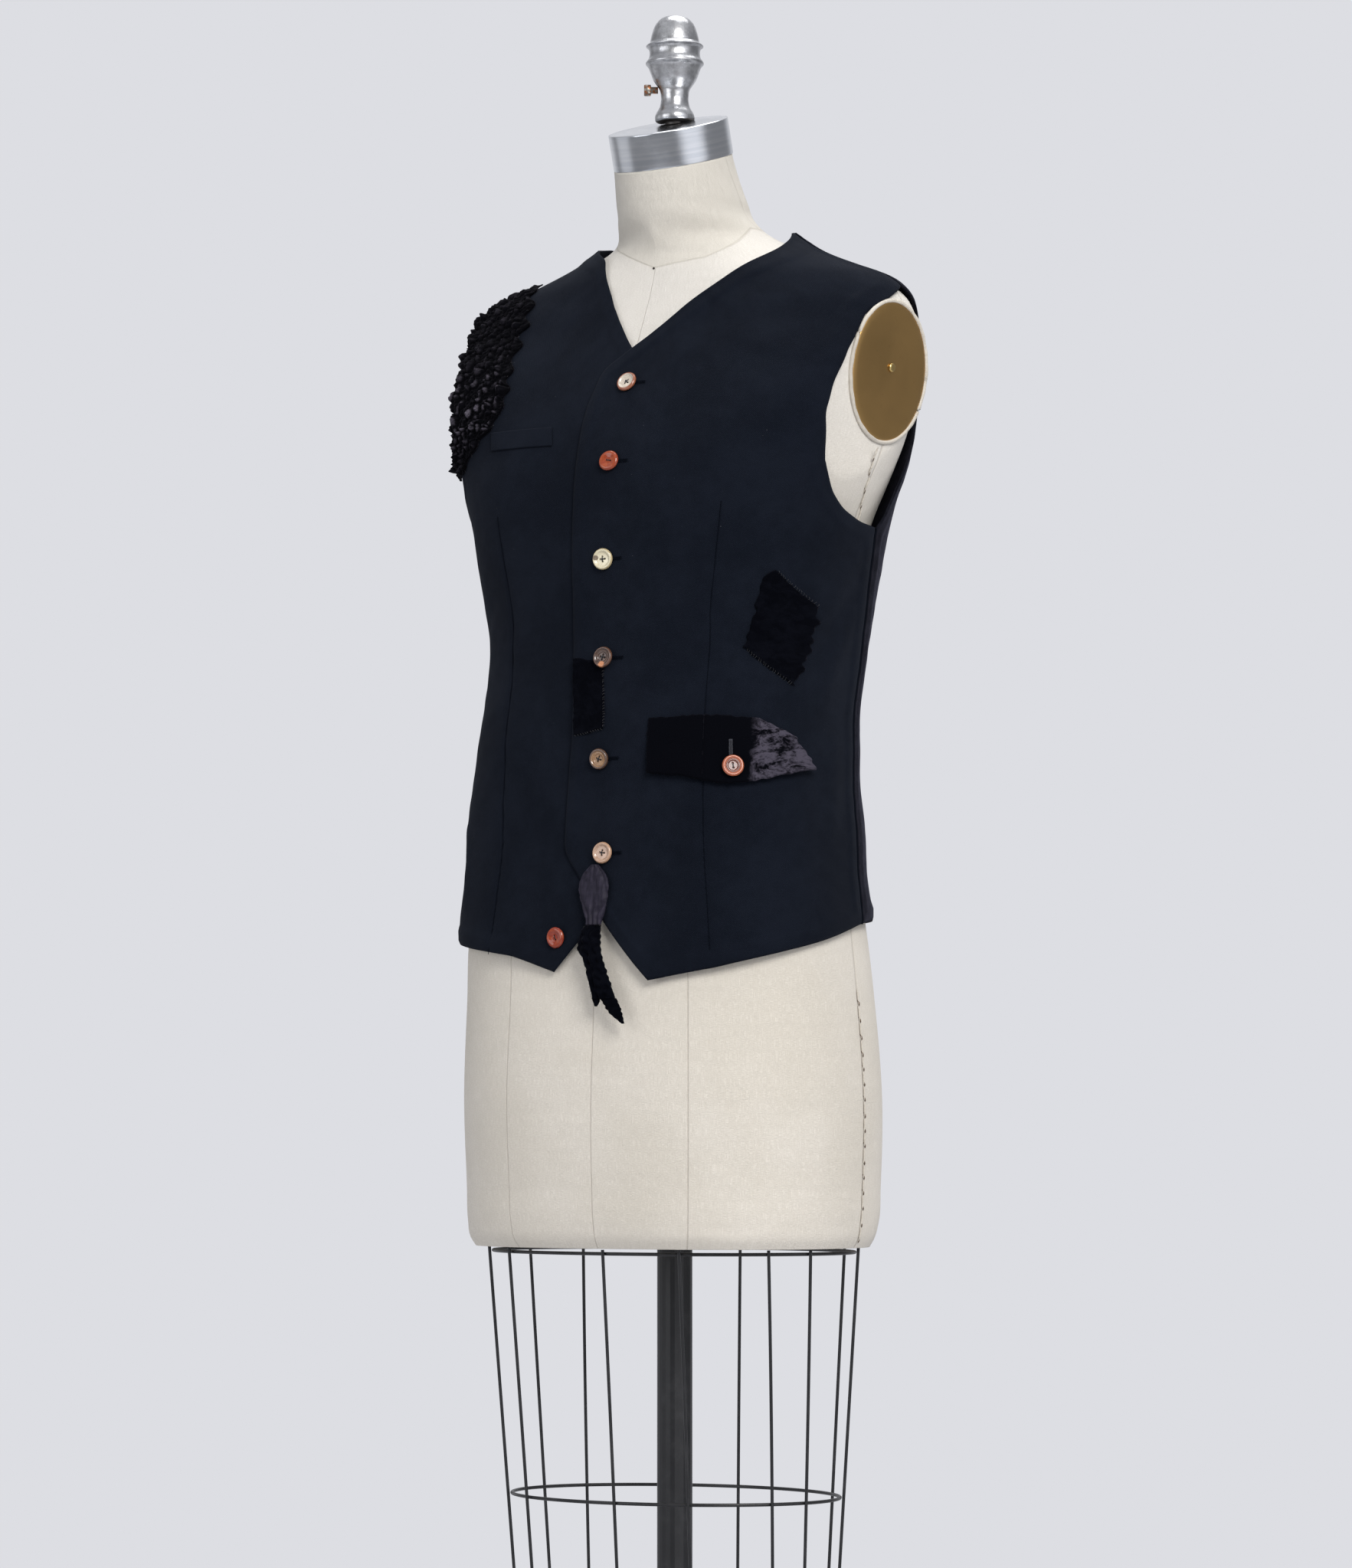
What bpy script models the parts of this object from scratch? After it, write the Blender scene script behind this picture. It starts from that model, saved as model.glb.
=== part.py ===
"""A navy wool waistcoat with a velvet back, patched and worn on a linen dress form.

The form stands on a pole with a wire cage. Metres, +Z up, front towards -Y and
the wearer's left towards +X. The origin is on the floor, on the axis of the pole.
"""
import math

import bmesh
import bpy
import numpy as np
from mathutils import Matrix, Vector

NAME = "waistcoat_on_dress_form"
WALL = 0.0020
VELVET = 0.0018
SEAM_GAP = 0.0003
LAP_GAP = 0.0006
LAP_LIFT = WALL + LAP_GAP

# Rings of the vest's outer face and of the linen form. The columns are height,
# half_width, centre_y, front_reach, back_reach, front_power and back_power.
# A power of 2 is an ellipse, and a larger one is boxier.
VEST_RINGS = (
    (0.8450, 0.1580, 0.0000, 0.1240, 0.1200, 3.00, 2.00),
    (0.8970, 0.1585, 0.0000, 0.1210, 0.1190, 3.10, 2.00),
    (0.9350, 0.1550, 0.0000, 0.1160, 0.1110, 3.10, 2.00),
    (0.9800, 0.1520, 0.0010, 0.1170, 0.1070, 3.05, 2.00),
    (1.0260, 0.1485, 0.0050, 0.1210, 0.0950, 2.85, 2.00),
    (1.0620, 0.1475, 0.0110, 0.1250, 0.0900, 2.60, 2.00),
    (1.1020, 0.1490, 0.0190, 0.1300, 0.0920, 2.45, 2.00),
    (1.1420, 0.1530, 0.0200, 0.1310, 0.0990, 2.50, 2.10),
    (1.1670, 0.1565, 0.0200, 0.1310, 0.1030, 2.60, 2.25),
    (1.2020, 0.1620, 0.0200, 0.1290, 0.1080, 2.70, 2.30),
    (1.2390, 0.1740, 0.0210, 0.1250, 0.1140, 2.70, 2.25),
    (1.2620, 0.1800, 0.0260, 0.1230, 0.1140, 2.90, 2.15),
    (1.3200, 0.1890, 0.0350, 0.1040, 0.1100, 3.10, 2.00),
    (1.3470, 0.1880, 0.0340, 0.0880, 0.1070, 2.75, 2.00),
    (1.3640, 0.1845, 0.0330, 0.0790, 0.1020, 2.50, 1.95),
    (1.3760, 0.1775, 0.0330, 0.0730, 0.0950, 2.30, 1.90),
    (1.3860, 0.1630, 0.0340, 0.0700, 0.0870, 2.15, 1.90),
    (1.3960, 0.1380, 0.0360, 0.0690, 0.0770, 1.97, 1.90),
    (1.4080, 0.1090, 0.0395, 0.0690, 0.0640, 1.85, 1.90),
    (1.4270, 0.0800, 0.0440, 0.0710, 0.0460, 1.75, 1.90),
    (1.4420, 0.0620, 0.0440, 0.0710, 0.0360, 1.90, 1.90),
)
FORM_RINGS = (
    (0.6550, 0.1545, 0.0000, 0.1130, 0.1000, 2.40, 2.20),
    (0.6610, 0.1580, 0.0000, 0.1170, 0.1030, 2.40, 2.20),
    (0.6740, 0.1605, 0.0000, 0.1205, 0.1050, 2.35, 2.30),
    (0.7000, 0.1620, 0.0000, 0.1225, 0.1060, 2.30, 2.30),
    (0.7600, 0.1634, 0.0000, 0.1240, 0.1070, 2.35, 2.30),
    (0.8400, 0.1580, 0.0000, 0.1190, 0.1070, 2.60, 2.20),
    (0.8950, 0.1520, 0.0000, 0.1150, 0.1060, 2.90, 2.10),
    (0.9500, 0.1430, 0.0020, 0.1080, 0.0980, 2.60, 2.00),
    (1.0000, 0.1290, 0.0050, 0.0990, 0.0870, 2.30, 2.00),
    (1.0500, 0.1220, 0.0080, 0.0940, 0.0800, 2.20, 2.00),
    (1.1000, 0.1260, 0.0120, 0.1000, 0.0850, 2.20, 2.00),
    (1.1500, 0.1360, 0.0160, 0.1130, 0.0940, 2.30, 2.10),
    (1.2020, 0.1480, 0.0190, 0.1210, 0.1010, 2.50, 2.20),
    (1.2390, 0.1640, 0.0210, 0.1190, 0.1080, 2.60, 2.20),
    (1.2620, 0.1735, 0.0260, 0.1170, 0.1080, 2.80, 2.10),
    (1.3200, 0.1845, 0.0350, 0.0985, 0.1045, 3.05, 2.00),
    (1.3450, 0.1835, 0.0340, 0.0850, 0.1030, 2.72, 2.00),
    (1.3588, 0.1820, 0.0332, 0.0775, 0.0985, 2.50, 1.95),
    (1.3706, 0.1755, 0.0330, 0.0715, 0.0915, 2.35, 1.90),
    (1.3815, 0.1605, 0.0337, 0.0680, 0.0815, 2.18, 1.90),
    (1.3926, 0.1350, 0.0355, 0.0660, 0.0700, 1.90, 1.90),
    (1.4065, 0.1030, 0.0375, 0.0645, 0.0560, 1.60, 1.90),
    (1.4208, 0.0690, 0.0310, 0.0640, 0.0480, 1.40, 1.95),
    (1.4360, 0.0530, 0.0210, 0.0600, 0.0470, 1.90, 2.00),
    (1.4500, 0.0500, 0.0140, 0.0565, 0.0460, 2.00, 2.00),
    (1.4810, 0.0458, -0.0017, 0.0475, 0.0475, 2.00, 2.00),
    (1.5250, 0.0455, -0.0160, 0.0475, 0.0475, 2.00, 2.00),
)

# The cut of each panel, as the edges of an upper piece, down to the chest line, and of
# a lower one. A row is a point of the edge and the number of grid steps that lead to it.
# A front's centre edge is given by x and height, and every other edge by angle and height.
SIDE_SEAM = 92.0
SHOULDER_SEAM = 90.0
SHOULDER = ((90.0, 1.4270, 0), (90.0, 1.3760, 10))
ARMHOLE_FRONT = (
    (90.0, 1.3760, 0),
    (74.5, 1.3500, 3),
    (67.5, 1.3200, 2),
    (63.8, 1.2940, 2),
    (62.9, 1.2700, 2),
    (65.8, 1.2351, 2),
)
ARMHOLE_FRONT_FOOT = ((69.1, 1.2143, 1), (74.6, 1.2015, 1), (83.0, 1.1945, 1), (92.0, 1.1925, 1))
LEFT_NECKLINE = (
    (0.0800, 1.4270, 0),
    (0.0741, 1.3933, 3),
    (0.0424, 1.3657, 2),
    (0.0000, 1.3275, 3),
    (-0.0190, 1.3120, 1),
    (-0.0243, 1.2800, 2),
)
RIGHT_NECKLINE = (
    (0.0800, 1.4270, 0),
    (0.0700, 1.4205, 2),
    (0.0500, 1.4080, 2),
    (0.0370, 1.3820, 2),
    (0.0000, 1.3290, 2),
    (-0.0170, 1.3140, 1),
    (-0.0220, 1.2800, 2),
)
LEFT_FRONT_EDGE = (
    (-0.0243, 1.2800, 0),
    (-0.0240, 1.2000, 3),
    (-0.0214, 1.0913, 4),
    (-0.0200, 1.0338, 2),
    (-0.0278, 0.9488, 3),
    (0.0123, 0.8916, 3),
    (0.0482, 0.8511, 2),
)
RIGHT_FRONT_EDGE = (
    (-0.0220, 1.2800, 0),
    (-0.0220, 1.2000, 3),
    (-0.0220, 1.0913, 4),
    (-0.0220, 1.0338, 2),
    (-0.0250, 0.9520, 3),
    (0.0034, 0.8908, 3),
    (0.0329, 0.8585, 2),
)
LEFT_HEM = ((21.5, 0.8511, 0), (41.2, 0.8601, 4), (70.0, 0.8790, 6), (92.0, 0.8950, 4))
RIGHT_HEM = ((15.0, 0.8585, 0), (30.9, 0.8711, 4), (66.0, 0.8850, 6), (92.0, 0.8900, 4))
BACK_TOP = (
    (180.0, 1.4100, 0),
    (140.0, 1.4140, 3),
    (115.0, 1.4190, 2),
    (102.0, 1.4225, 1),
    (90.0, 1.4270, 1),
    (90.0, 1.3760, 4),
)
ARMHOLE_BACK = (
    (90.0, 1.3760, 0),
    (100.0, 1.3660, 2),
    (107.0, 1.3450, 1),
    (109.5, 1.3200, 2),
    (108.5, 1.2920, 1),
    (106.0, 1.2680, 1),
    (102.5, 1.2400, 2),
)
ARMHOLE_BACK_FOOT = ((98.5, 1.2150, 1), (95.0, 1.2000, 1), (92.0, 1.1925, 1))
BACK_MIDDLE = 180.0
BACK_HEM = ((180.0, 0.8950, 0), (103.0, 0.8990, 11), (92.0, 0.8950, 3))
CHEST_STEPS = 10
BACK_CHEST_STEPS = 11
SIDE_STEPS = 17
BACK_CHEST_HEIGHT = 1.2500
BACK_SIDE_STEPS = 14

# The main folds: side (1 is the wearer's left), angle and height where a fold
# starts and ends, its depth (a ridge is positive) and its half_width.
FOLDS = (
    (1, 84.0, 1.180, 66.0, 1.070, -0.0016, 0.012),
    (1, 80.0, 1.060, 74.0, 0.960, 0.0015, 0.014),
    (1, 10.0, 0.965, 38.0, 0.905, 0.0014, 0.012),
    (1, 26.0, 1.255, 52.0, 1.222, 0.0016, 0.015),
    (-1, 72.0, 1.010, 60.0, 0.925, 0.0016, 0.012),
    (-1, 80.0, 1.170, 60.0, 1.090, -0.0016, 0.013),
    (-1, 24.0, 1.255, 50.0, 1.222, 0.0016, 0.015),
    (1, 112.0, 1.200, 128.0, 1.060, -0.0020, 0.016),
    (-1, 112.0, 1.190, 126.0, 1.050, -0.0020, 0.016),
    (1, 150.0, 1.080, 176.0, 1.030, 0.0018, 0.014),
)
BUST_ANGLE = 42.0
BUST_HEIGHT = 1.212
BUST_RISE = 0.0035
BUST_SPREAD = 0.045

BUTTON_RADIUS = 0.0080
BUTTON_THICKNESS = 0.0030
BUTTON_LIFT = 0.0005
PATCH_THICKNESS = 0.0012
PATCH_LIFT = 0.0009
OVER_PATCH = PATCH_LIFT + PATCH_THICKNESS
# Buttons: name, the side of the front that carries it, x, height, what lies under it and colour.
BUTTONS = (
    ("button_1", 1, 0.0072, 1.2981, 0.0, (0.62, 0.50, 0.42)),
    ("button_2", 1, 0.0059, 1.2372, 0.0, (0.45, 0.07, 0.02)),
    ("button_3", 1, 0.0047, 1.1641, 0.0, (0.68, 0.60, 0.42)),
    ("button_4", 1, 0.0064, 1.0902, OVER_PATCH, (0.20, 0.08, 0.04)),
    ("button_5", 1, 0.0053, 1.0154, 0.0, (0.40, 0.24, 0.11)),
    ("button_6", 1, 0.0077, 0.9457, 0.0, (0.55, 0.36, 0.27)),
    ("button_tip", -1, -0.0305, 0.8839, 0.0, (0.42, 0.06, 0.02)),
)
FLAP_BUTTON_COLOUR = (0.50, 0.18, 0.10)

# Corners on the left front, in order round the piece: x and height.
DIAMOND_CORNERS = ((0.1265, 1.1536), (0.1439, 1.1278), (0.1340, 1.0685), (0.1072, 1.0958))
PLACKET_PATCH_CORNERS = ((-0.0208, 1.0919), (0.0051, 1.0866), (0.0079, 1.0373), (-0.0180, 1.0327))
FLAP_TOP = ((0.0444, 1.0440), (0.0806, 1.0460), (0.1010, 1.0450), (0.1212, 1.0434), (0.1374, 1.0305))
FLAP_BOTTOM = ((0.0443, 1.0032), (0.0708, 1.0008), (0.0980, 0.9945), (0.1180, 0.9950), (0.1440, 1.0048))
WELT_CORNERS = ((-0.0523, 1.2689), (-0.1120, 1.2698), (-0.1090, 1.2550), (-0.0490, 1.2540))
FLAP_THICKNESS = 0.0020
FLAP_BELLY = 0.0025
FLAP_BUTTON_PLACE = (0.1062, 1.0070)

# Down the ruffle: the angle and height of its outer and its inner edge.
RUFFLE_EDGES = (
    (84.0, 1.3860, 73.0, 1.3960),
    (80.0, 1.3700, 61.0, 1.3790),
    (75.5, 1.3500, 55.0, 1.3570),
    (70.0, 1.3270, 50.0, 1.3320),
    (66.5, 1.3030, 45.5, 1.3080),
    (65.0, 1.2780, 43.5, 1.2850),
    (64.5, 1.2580, 47.5, 1.2660),
    (66.0, 1.2400, 58.0, 1.2440),
)
RUFFLE_WAVES = 16
RUFFLE_ROWS = 4
RUFFLE_HEIGHT = 0.0034
RUFFLE_BACKING = 0.0012
RUFFLE_LIFT = 0.0006

SHELL_NAVY = (0.012, 0.014, 0.022)
VELVET_BLACK = (0.006, 0.006, 0.010)
LINEN = (0.64, 0.58, 0.49)
STEEL = (0.50, 0.53, 0.57)
BLACK_PAINT = (0.010, 0.010, 0.012)
BRASS = (0.26, 0.17, 0.07)


def clear_scene():
    """Remove every object of the open scene."""
    for thing in list(bpy.data.objects):
        bpy.data.objects.remove(thing, do_unlink=True)


def new_collection(name, hidden=False):
    """A collection linked to the scene."""
    group = bpy.data.collections.new(name)
    bpy.context.scene.collection.children.link(group)
    group.hide_render = hidden
    return group


clear_scene()
PARTS = new_collection(NAME)
CUTTERS = new_collection("cutters", hidden=True)


def read_table(rows, height):
    """Every column of a table of rings at a height, on smooth curves through its rows."""
    table = np.array(rows)
    knots, values = table[:, 0], table[:, 1:]
    slopes = np.gradient(values, knots, axis=0)
    flat = np.clip(np.ravel(height), knots[0], knots[-1])
    low = np.clip(np.searchsorted(knots, flat, side="right") - 1, 0, len(knots) - 2)
    span = knots[low + 1] - knots[low]
    s = ((flat - knots[low]) / span)[:, None]
    span = span[:, None]
    start = (1 + 2 * s) * (1 - s) ** 2 * values[low] + s * (1 - s) ** 2 * span * slopes[low]
    end = s * s * (3 - 2 * s) * values[low + 1] - s * s * (1 - s) * span * slopes[low + 1]
    return (start + end).reshape(np.shape(height) + (values.shape[1],))


def ring_point(rows, angle, height):
    """A point of a ring, by its angle in degrees from the front towards the wearer's left."""
    turn = np.radians(angle)
    half, centre, front, back, front_power, back_power = np.moveaxis(read_table(rows, height), -1, 0)
    forward = np.cos(turn) >= 0
    reach = np.where(forward, front, back)
    power = np.where(forward, front_power, back_power)
    across = np.abs(np.sin(turn)) / half
    along = np.abs(np.cos(turn)) / reach
    radius = (across**power + along**power) ** (-1 / power)
    return np.stack([radius * np.sin(turn), centre - radius * np.cos(turn), height + 0 * radius], -1)


def smooth_step(value):
    """0 below 0, 1 above 1 and an S between."""
    s = np.clip(value, 0, 1)
    return s * s * (3 - 2 * s)


def relief(angle, height):
    """How far the bust and the folds raise the cloth over its rings."""
    radius = 0.15
    turn = (angle + 180) % 360 - 180
    across = np.radians(np.abs(turn) - BUST_ANGLE) * radius
    raised = BUST_RISE * np.exp(-(across**2 + (height - BUST_HEIGHT) ** 2) / BUST_SPREAD**2)
    for side, angle_0, height_0, angle_1, height_1, depth, half_width in FOLDS:
        x = np.radians(side * turn - angle_0) * radius
        z = height - height_0
        run = (math.radians(angle_1 - angle_0) * radius, height_1 - height_0)
        length = math.hypot(*run)
        along = np.clip((x * run[0] + z * run[1]) / length**2, 0, 1)
        away = np.hypot(x - along * run[0], z - along * run[1])
        raised = raised + depth * np.sin(np.pi * along) ** 0.7 * np.exp(-((away / half_width) ** 2))
    return raised


def vest_point(angle, height, lift=0.0):
    """A point of the vest's outer face, moved out along the face's normal by a lift."""
    angle, height = np.broadcast_arrays(np.asarray(angle, float), np.asarray(height, float))
    step_angle, step_height = 0.05, 0.0002

    def place(a, h):
        base = ring_point(VEST_RINGS, a, h)
        out = np.stack([np.sin(np.radians(a)), -np.cos(np.radians(a)), np.zeros_like(a)], -1)
        return base + out * relief(a, h)[..., None]

    point = place(angle, height)
    along = place(angle + step_angle, height) - place(angle - step_angle, height)
    up = place(angle, height + step_height) - place(angle, height - step_height)
    normal = np.cross(along, up)
    normal /= np.linalg.norm(normal, axis=-1, keepdims=True)
    return point + normal * np.asarray(lift)[..., None]


def angle_at(x, height):
    """The angle at which the vest's front reaches an x at a height."""
    sweep = np.linspace(0, 90, 361)
    reach = vest_point(sweep, np.full_like(sweep, height))[:, 0]
    return math.copysign(np.interp(abs(x), reach, sweep), x)


def lap_lift(x, side):
    """The left front rides over the right one where they lap."""
    return LAP_LIFT * smooth_step((0.062 - x) / 0.030) if side > 0 else 0 * x


def trace_edge(rows):
    """The points of an edge: each row's point, led to in even steps."""
    points = [np.array(rows[0][:2])]
    for *point, steps in rows[1:]:
        start = points[-1]
        points.extend(start + (np.array(point) - start) * k / steps for k in range(1, steps + 1))
    return np.array(points)


def front_edge(rows):
    """A front's centre edge, its x turned into angles."""
    return trace_edge([(angle_at(x, height), height, steps) for x, height, steps in rows])


def coons(top, foot, start, end):
    """A grid of angles and heights that blends the four edges of a piece."""
    s = np.linspace(0, 1, len(top))[None, :, None]
    t = np.linspace(0, 1, len(start))[:, None, None]
    across = (1 - t) * top[None] + t * foot[None]
    down = (1 - s) * start[:, None] + s * end[:, None]
    corners = (1 - s) * (1 - t) * top[0] + s * (1 - t) * top[-1]
    corners = corners + (1 - s) * t * foot[0] + s * t * foot[-1]
    return across + down - corners


def join_grids(grids):
    """Points and quads of several grids, with the points that they share made one."""
    points = np.concatenate([grid.reshape(-1, 2) for grid in grids])
    _, first, place = np.unique(np.round(points, 5), axis=0, return_index=True, return_inverse=True)
    quads = []
    start = 0
    for grid in grids:
        ids = place.ravel()[start : start + grid[..., 0].size].reshape(grid.shape[:2])
        start += ids.size
        quad = np.stack([ids[:-1, :-1], ids[1:, :-1], ids[1:, 1:], ids[:-1, 1:]], -1)
        quads.append(quad.reshape(-1, 4))
    return points[first], np.concatenate(quads)


def keep_seam_gap(points, towards_middle):
    """Move the points on the shoulder and side seams back by half of the gap that seams keep."""
    angle, height = points[:, 0].copy(), points[:, 1]
    radius = np.linalg.norm(vest_point(angle, height)[:, :2], axis=-1)
    inset = np.degrees(SEAM_GAP / 2 / radius)
    for seam, level in ((SHOULDER_SEAM, height > 1.3), (SIDE_SEAM, height < 1.2)):
        left = (np.abs(angle - seam) < 1e-6) & level
        right = (np.abs(angle - (360 - seam)) < 1e-6) & level
        angle = angle + np.where(left, -towards_middle, 0) * inset
        angle = angle + np.where(right, towards_middle, 0) * inset
    return angle, height


def material(name, colour, roughness, metallic=0.0):
    """A Principled material."""
    finish = bpy.data.materials.new(name)
    finish.use_nodes = True
    shader = finish.node_tree.nodes["Principled BSDF"]
    shader.inputs["Base Color"].default_value = (*colour, 1)
    shader.inputs["Roughness"].default_value = roughness
    shader.inputs["Metallic"].default_value = metallic
    finish.diffuse_color = (*colour, 1)
    return finish


def mesh_object(name, points, faces, finish=None, group=None):
    """An object from points and faces, smooth where its faces meet gently."""
    mesh = bpy.data.meshes.new(name)
    mesh.from_pydata([tuple(map(float, p)) for p in points], [], faces)
    mesh.update()
    mesh.shade_smooth()
    mesh.set_sharp_from_angle(angle=math.radians(35))
    thing = bpy.data.objects.new(name, mesh)
    (group or PARTS).objects.link(thing)
    if finish:
        mesh.materials.append(finish)
    return thing


def wall(name, outer, inner, quads, finish):
    """A closed wall: quads over the outer points, the same over the inner ones, and a rim."""
    count = len(outer)
    quads = [tuple(map(int, quad)) for quad in quads]
    owned = {(a, b) for quad in quads for a, b in zip(quad, quad[1:] + quad[:1])}
    rim = [(a, b) for a, b in owned if (b, a) not in owned]
    faces = list(quads)
    faces += [tuple(k + count for k in reversed(quad)) for quad in quads]
    faces += [(b, a, a + count, b + count) for a, b in sorted(rim)]
    thing = mesh_object(name, np.concatenate([outer, inner]), faces, finish)
    face_outwards(thing.data)
    return thing


def grid_quads(rows, columns):
    """The quads of a plain grid."""
    ids = np.arange(rows * columns).reshape(rows, columns)
    quad = np.stack([ids[:-1, :-1], ids[1:, :-1], ids[1:, 1:], ids[:-1, 1:]], -1)
    return quad.reshape(-1, 4)


def grid_wall(name, outer, inner, finish):
    """A closed wall between two plain grids."""
    quads = grid_quads(*outer.shape[:2])
    return wall(name, outer.reshape(-1, 3), inner.reshape(-1, 3), quads, finish)


def face_outwards(mesh):
    """Turn the faces of a closed mesh outwards."""
    work = bmesh.new()
    work.from_mesh(mesh)
    bmesh.ops.recalc_face_normals(work, faces=work.faces)
    if work.calc_volume(signed=True) < 0:
        bmesh.ops.reverse_faces(work, faces=work.faces)
    work.to_mesh(mesh)
    work.free()


def turned(name, profile, steps, finish=None, group=None, caps=True):
    """A turned piece: a profile of radius and height, top to bottom, with a Screw modifier."""
    closed = list(profile)
    if caps:
        closed = [(0.0, profile[0][1])] + closed + [(0.0, profile[-1][1])]
    mesh = bpy.data.meshes.new(name)
    points = [(radius, 0, height) for radius, height in closed]
    mesh.from_pydata(points, [(i, i + 1) for i in range(len(points) - 1)], [])
    thing = bpy.data.objects.new(name, mesh)
    (group or PARTS).objects.link(thing)
    if finish:
        mesh.materials.append(finish)
    screw = thing.modifiers.new("turn", "SCREW")
    screw.steps = steps
    screw.render_steps = steps
    screw.use_merge_vertices = True
    screw.merge_threshold = 0.00001
    screw.use_smooth_shade = True
    return thing


def round_bar(name, points, radius, finish, sides=2, cyclic=False):
    """A wire or tube along a route."""
    curve = bpy.data.curves.new(name, "CURVE")
    curve.dimensions = "3D"
    curve.bevel_depth = radius
    curve.bevel_resolution = sides
    curve.use_fill_caps = not cyclic
    spline = curve.splines.new("POLY")
    spline.points.add(len(points) - 1)
    spline.use_cyclic_u = cyclic
    for knot, point in zip(spline.points, points):
        knot.co = (*map(float, point), 1)
    curve.materials.append(finish)
    thing = bpy.data.objects.new(name, curve)
    PARTS.objects.link(thing)
    return thing


def cut_with(thing, cutter):
    """Cut a piece with a cutter, which stays as a wire guide."""
    cutter.display_type = "WIRE"
    cutter.hide_render = True
    cut = thing.modifiers.new("cut", "BOOLEAN")
    cut.operation = "DIFFERENCE"
    cut.object = cutter


def half_space(name, point, normal, size=0.4):
    """A large cube whose one face lies in a plane, on the side that its normal points to."""
    mesh = bpy.data.meshes.new(name)
    work = bmesh.new()
    bmesh.ops.create_cube(work, size=size)
    bmesh.ops.translate(work, verts=work.verts, vec=(0, 0, size / 2))
    work.to_mesh(mesh)
    work.free()
    cutter = bpy.data.objects.new(name, mesh)
    CUTTERS.objects.link(cutter)
    turn = Vector(normal).to_track_quat("Z", "Y").to_matrix().to_4x4()
    cutter.matrix_world = Matrix.Translation(Vector(point)) @ turn
    return cutter


WOOL = material("navy_wool", SHELL_NAVY, 0.85)
BLACK_VELVET = material("black_velvet", VELVET_BLACK, 0.70)
PURPLE_SATIN = material("dark_satin", (0.030, 0.026, 0.042), 0.45)
LINEN_COVER = material("linen_cover", LINEN, 0.90)
POLISHED_STEEL = material("brushed_steel", STEEL, 0.30, 1.0)
PAINTED_IRON = material("black_paint", BLACK_PAINT, 0.45, 0.3)
OLD_BRASS = material("matt_brass", BRASS, 0.45, 0.8)


def make_front(name, neckline, edge, hem, side):
    """A wool front: neckline, lap, cutaway, hem, side seam, armhole and shoulder in one piece."""
    armhole = trace_edge(ARMHOLE_FRONT)
    shoulder = trace_edge(SHOULDER)
    neck = front_edge(neckline)
    neck[0] = shoulder[0]
    chest = trace_edge(((*neck[-1], 0), (*armhole[-1], CHEST_STEPS)))
    upper = coons(shoulder, chest, neck, armhole)
    foot = trace_edge(((*armhole[-1], 0), *ARMHOLE_FRONT_FOOT))
    opening = front_edge(edge)
    hem = trace_edge(((*opening[-1], 0), *hem[1:]))
    seam = trace_edge(((*foot[-1], 0), (*hem[-1], SIDE_STEPS)))
    lower = coons(np.concatenate([chest, foot[1:]]), hem, opening, seam)
    lower[0, : len(chest)] = upper[-1]
    points, quads = join_grids((upper, lower))
    angle, height = keep_seam_gap(points, 1)
    angle = side * angle
    lift = lap_lift(vest_point(angle, height)[..., 0], side)
    return wall(name, vest_point(angle, height, lift), vest_point(angle, height, lift - WALL), quads, WOOL)


def make_back():
    """The velvet back, cut on the fold: its two halves share the middle line."""
    armhole = trace_edge(ARMHOLE_BACK)
    top = trace_edge(BACK_TOP)
    spine = trace_edge(((*top[0], 0), (BACK_MIDDLE, BACK_CHEST_HEIGHT, len(armhole) - 1)))
    chest = trace_edge(((*spine[-1], 0), (*armhole[-1], BACK_CHEST_STEPS)))
    upper = coons(top, chest, spine, armhole)
    foot = trace_edge(((*armhole[-1], 0), *ARMHOLE_BACK_FOOT))
    hem = trace_edge(BACK_HEM)
    middle = trace_edge(((*spine[-1], 0), (*hem[0], BACK_SIDE_STEPS)))
    seam = trace_edge(((*foot[-1], 0), (*hem[-1], BACK_SIDE_STEPS)))
    lower = coons(np.concatenate([chest, foot[1:]]), hem, middle, seam)
    lower[0, : len(chest)] = upper[-1]
    halves = []
    for grid in (upper, lower):
        mirrored = grid[:, ::-1].copy()
        mirrored[..., 0] = 2 * BACK_MIDDLE - mirrored[..., 0]
        halves += [grid[:, ::-1], mirrored[:, ::-1]]
    points, quads = join_grids(halves)
    angle, height = keep_seam_gap(points, -1)
    return wall("back_panel", vest_point(angle, height), vest_point(angle, height, -VELVET), quads,
                BLACK_VELVET)


make_front("front_left", LEFT_NECKLINE, LEFT_FRONT_EDGE, LEFT_HEM, 1)
make_front("front_right", RIGHT_NECKLINE, RIGHT_FRONT_EDGE, RIGHT_HEM, -1)
make_back()


def lie_on_front(name, edge_a, edge_b, lift, thickness, finish, columns=8, rows=6, side=1, belly=0.0):
    """A flat piece laid on a front between two edges, whose points are x and height."""
    start = np.array([[angle_at(x, z), z] for x, z in edge_a])
    end = np.array([[angle_at(x, z), z] for x, z in edge_b])
    along = np.linspace(0, len(start) - 1, columns)
    knots = np.arange(len(start))
    first = np.stack([np.interp(along, knots, start[:, k]) for k in (0, 1)], -1)
    last = np.stack([np.interp(along, knots, end[:, k]) for k in (0, 1)], -1)
    down = np.linspace(0, 1, rows)[:, None, None]
    grid = first[None] * (1 - down) + last[None] * down
    angle, height = grid[..., 0], grid[..., 1]
    x = vest_point(angle, height)[..., 0]
    base = lap_lift(x, side) + lift
    base = base + belly * np.sin(np.pi / 2 * down[..., 0]) ** 2
    outer = vest_point(angle, height, base + thickness)
    inner = vest_point(angle, height, base)
    return grid_wall(name, outer, inner, finish)


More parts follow.
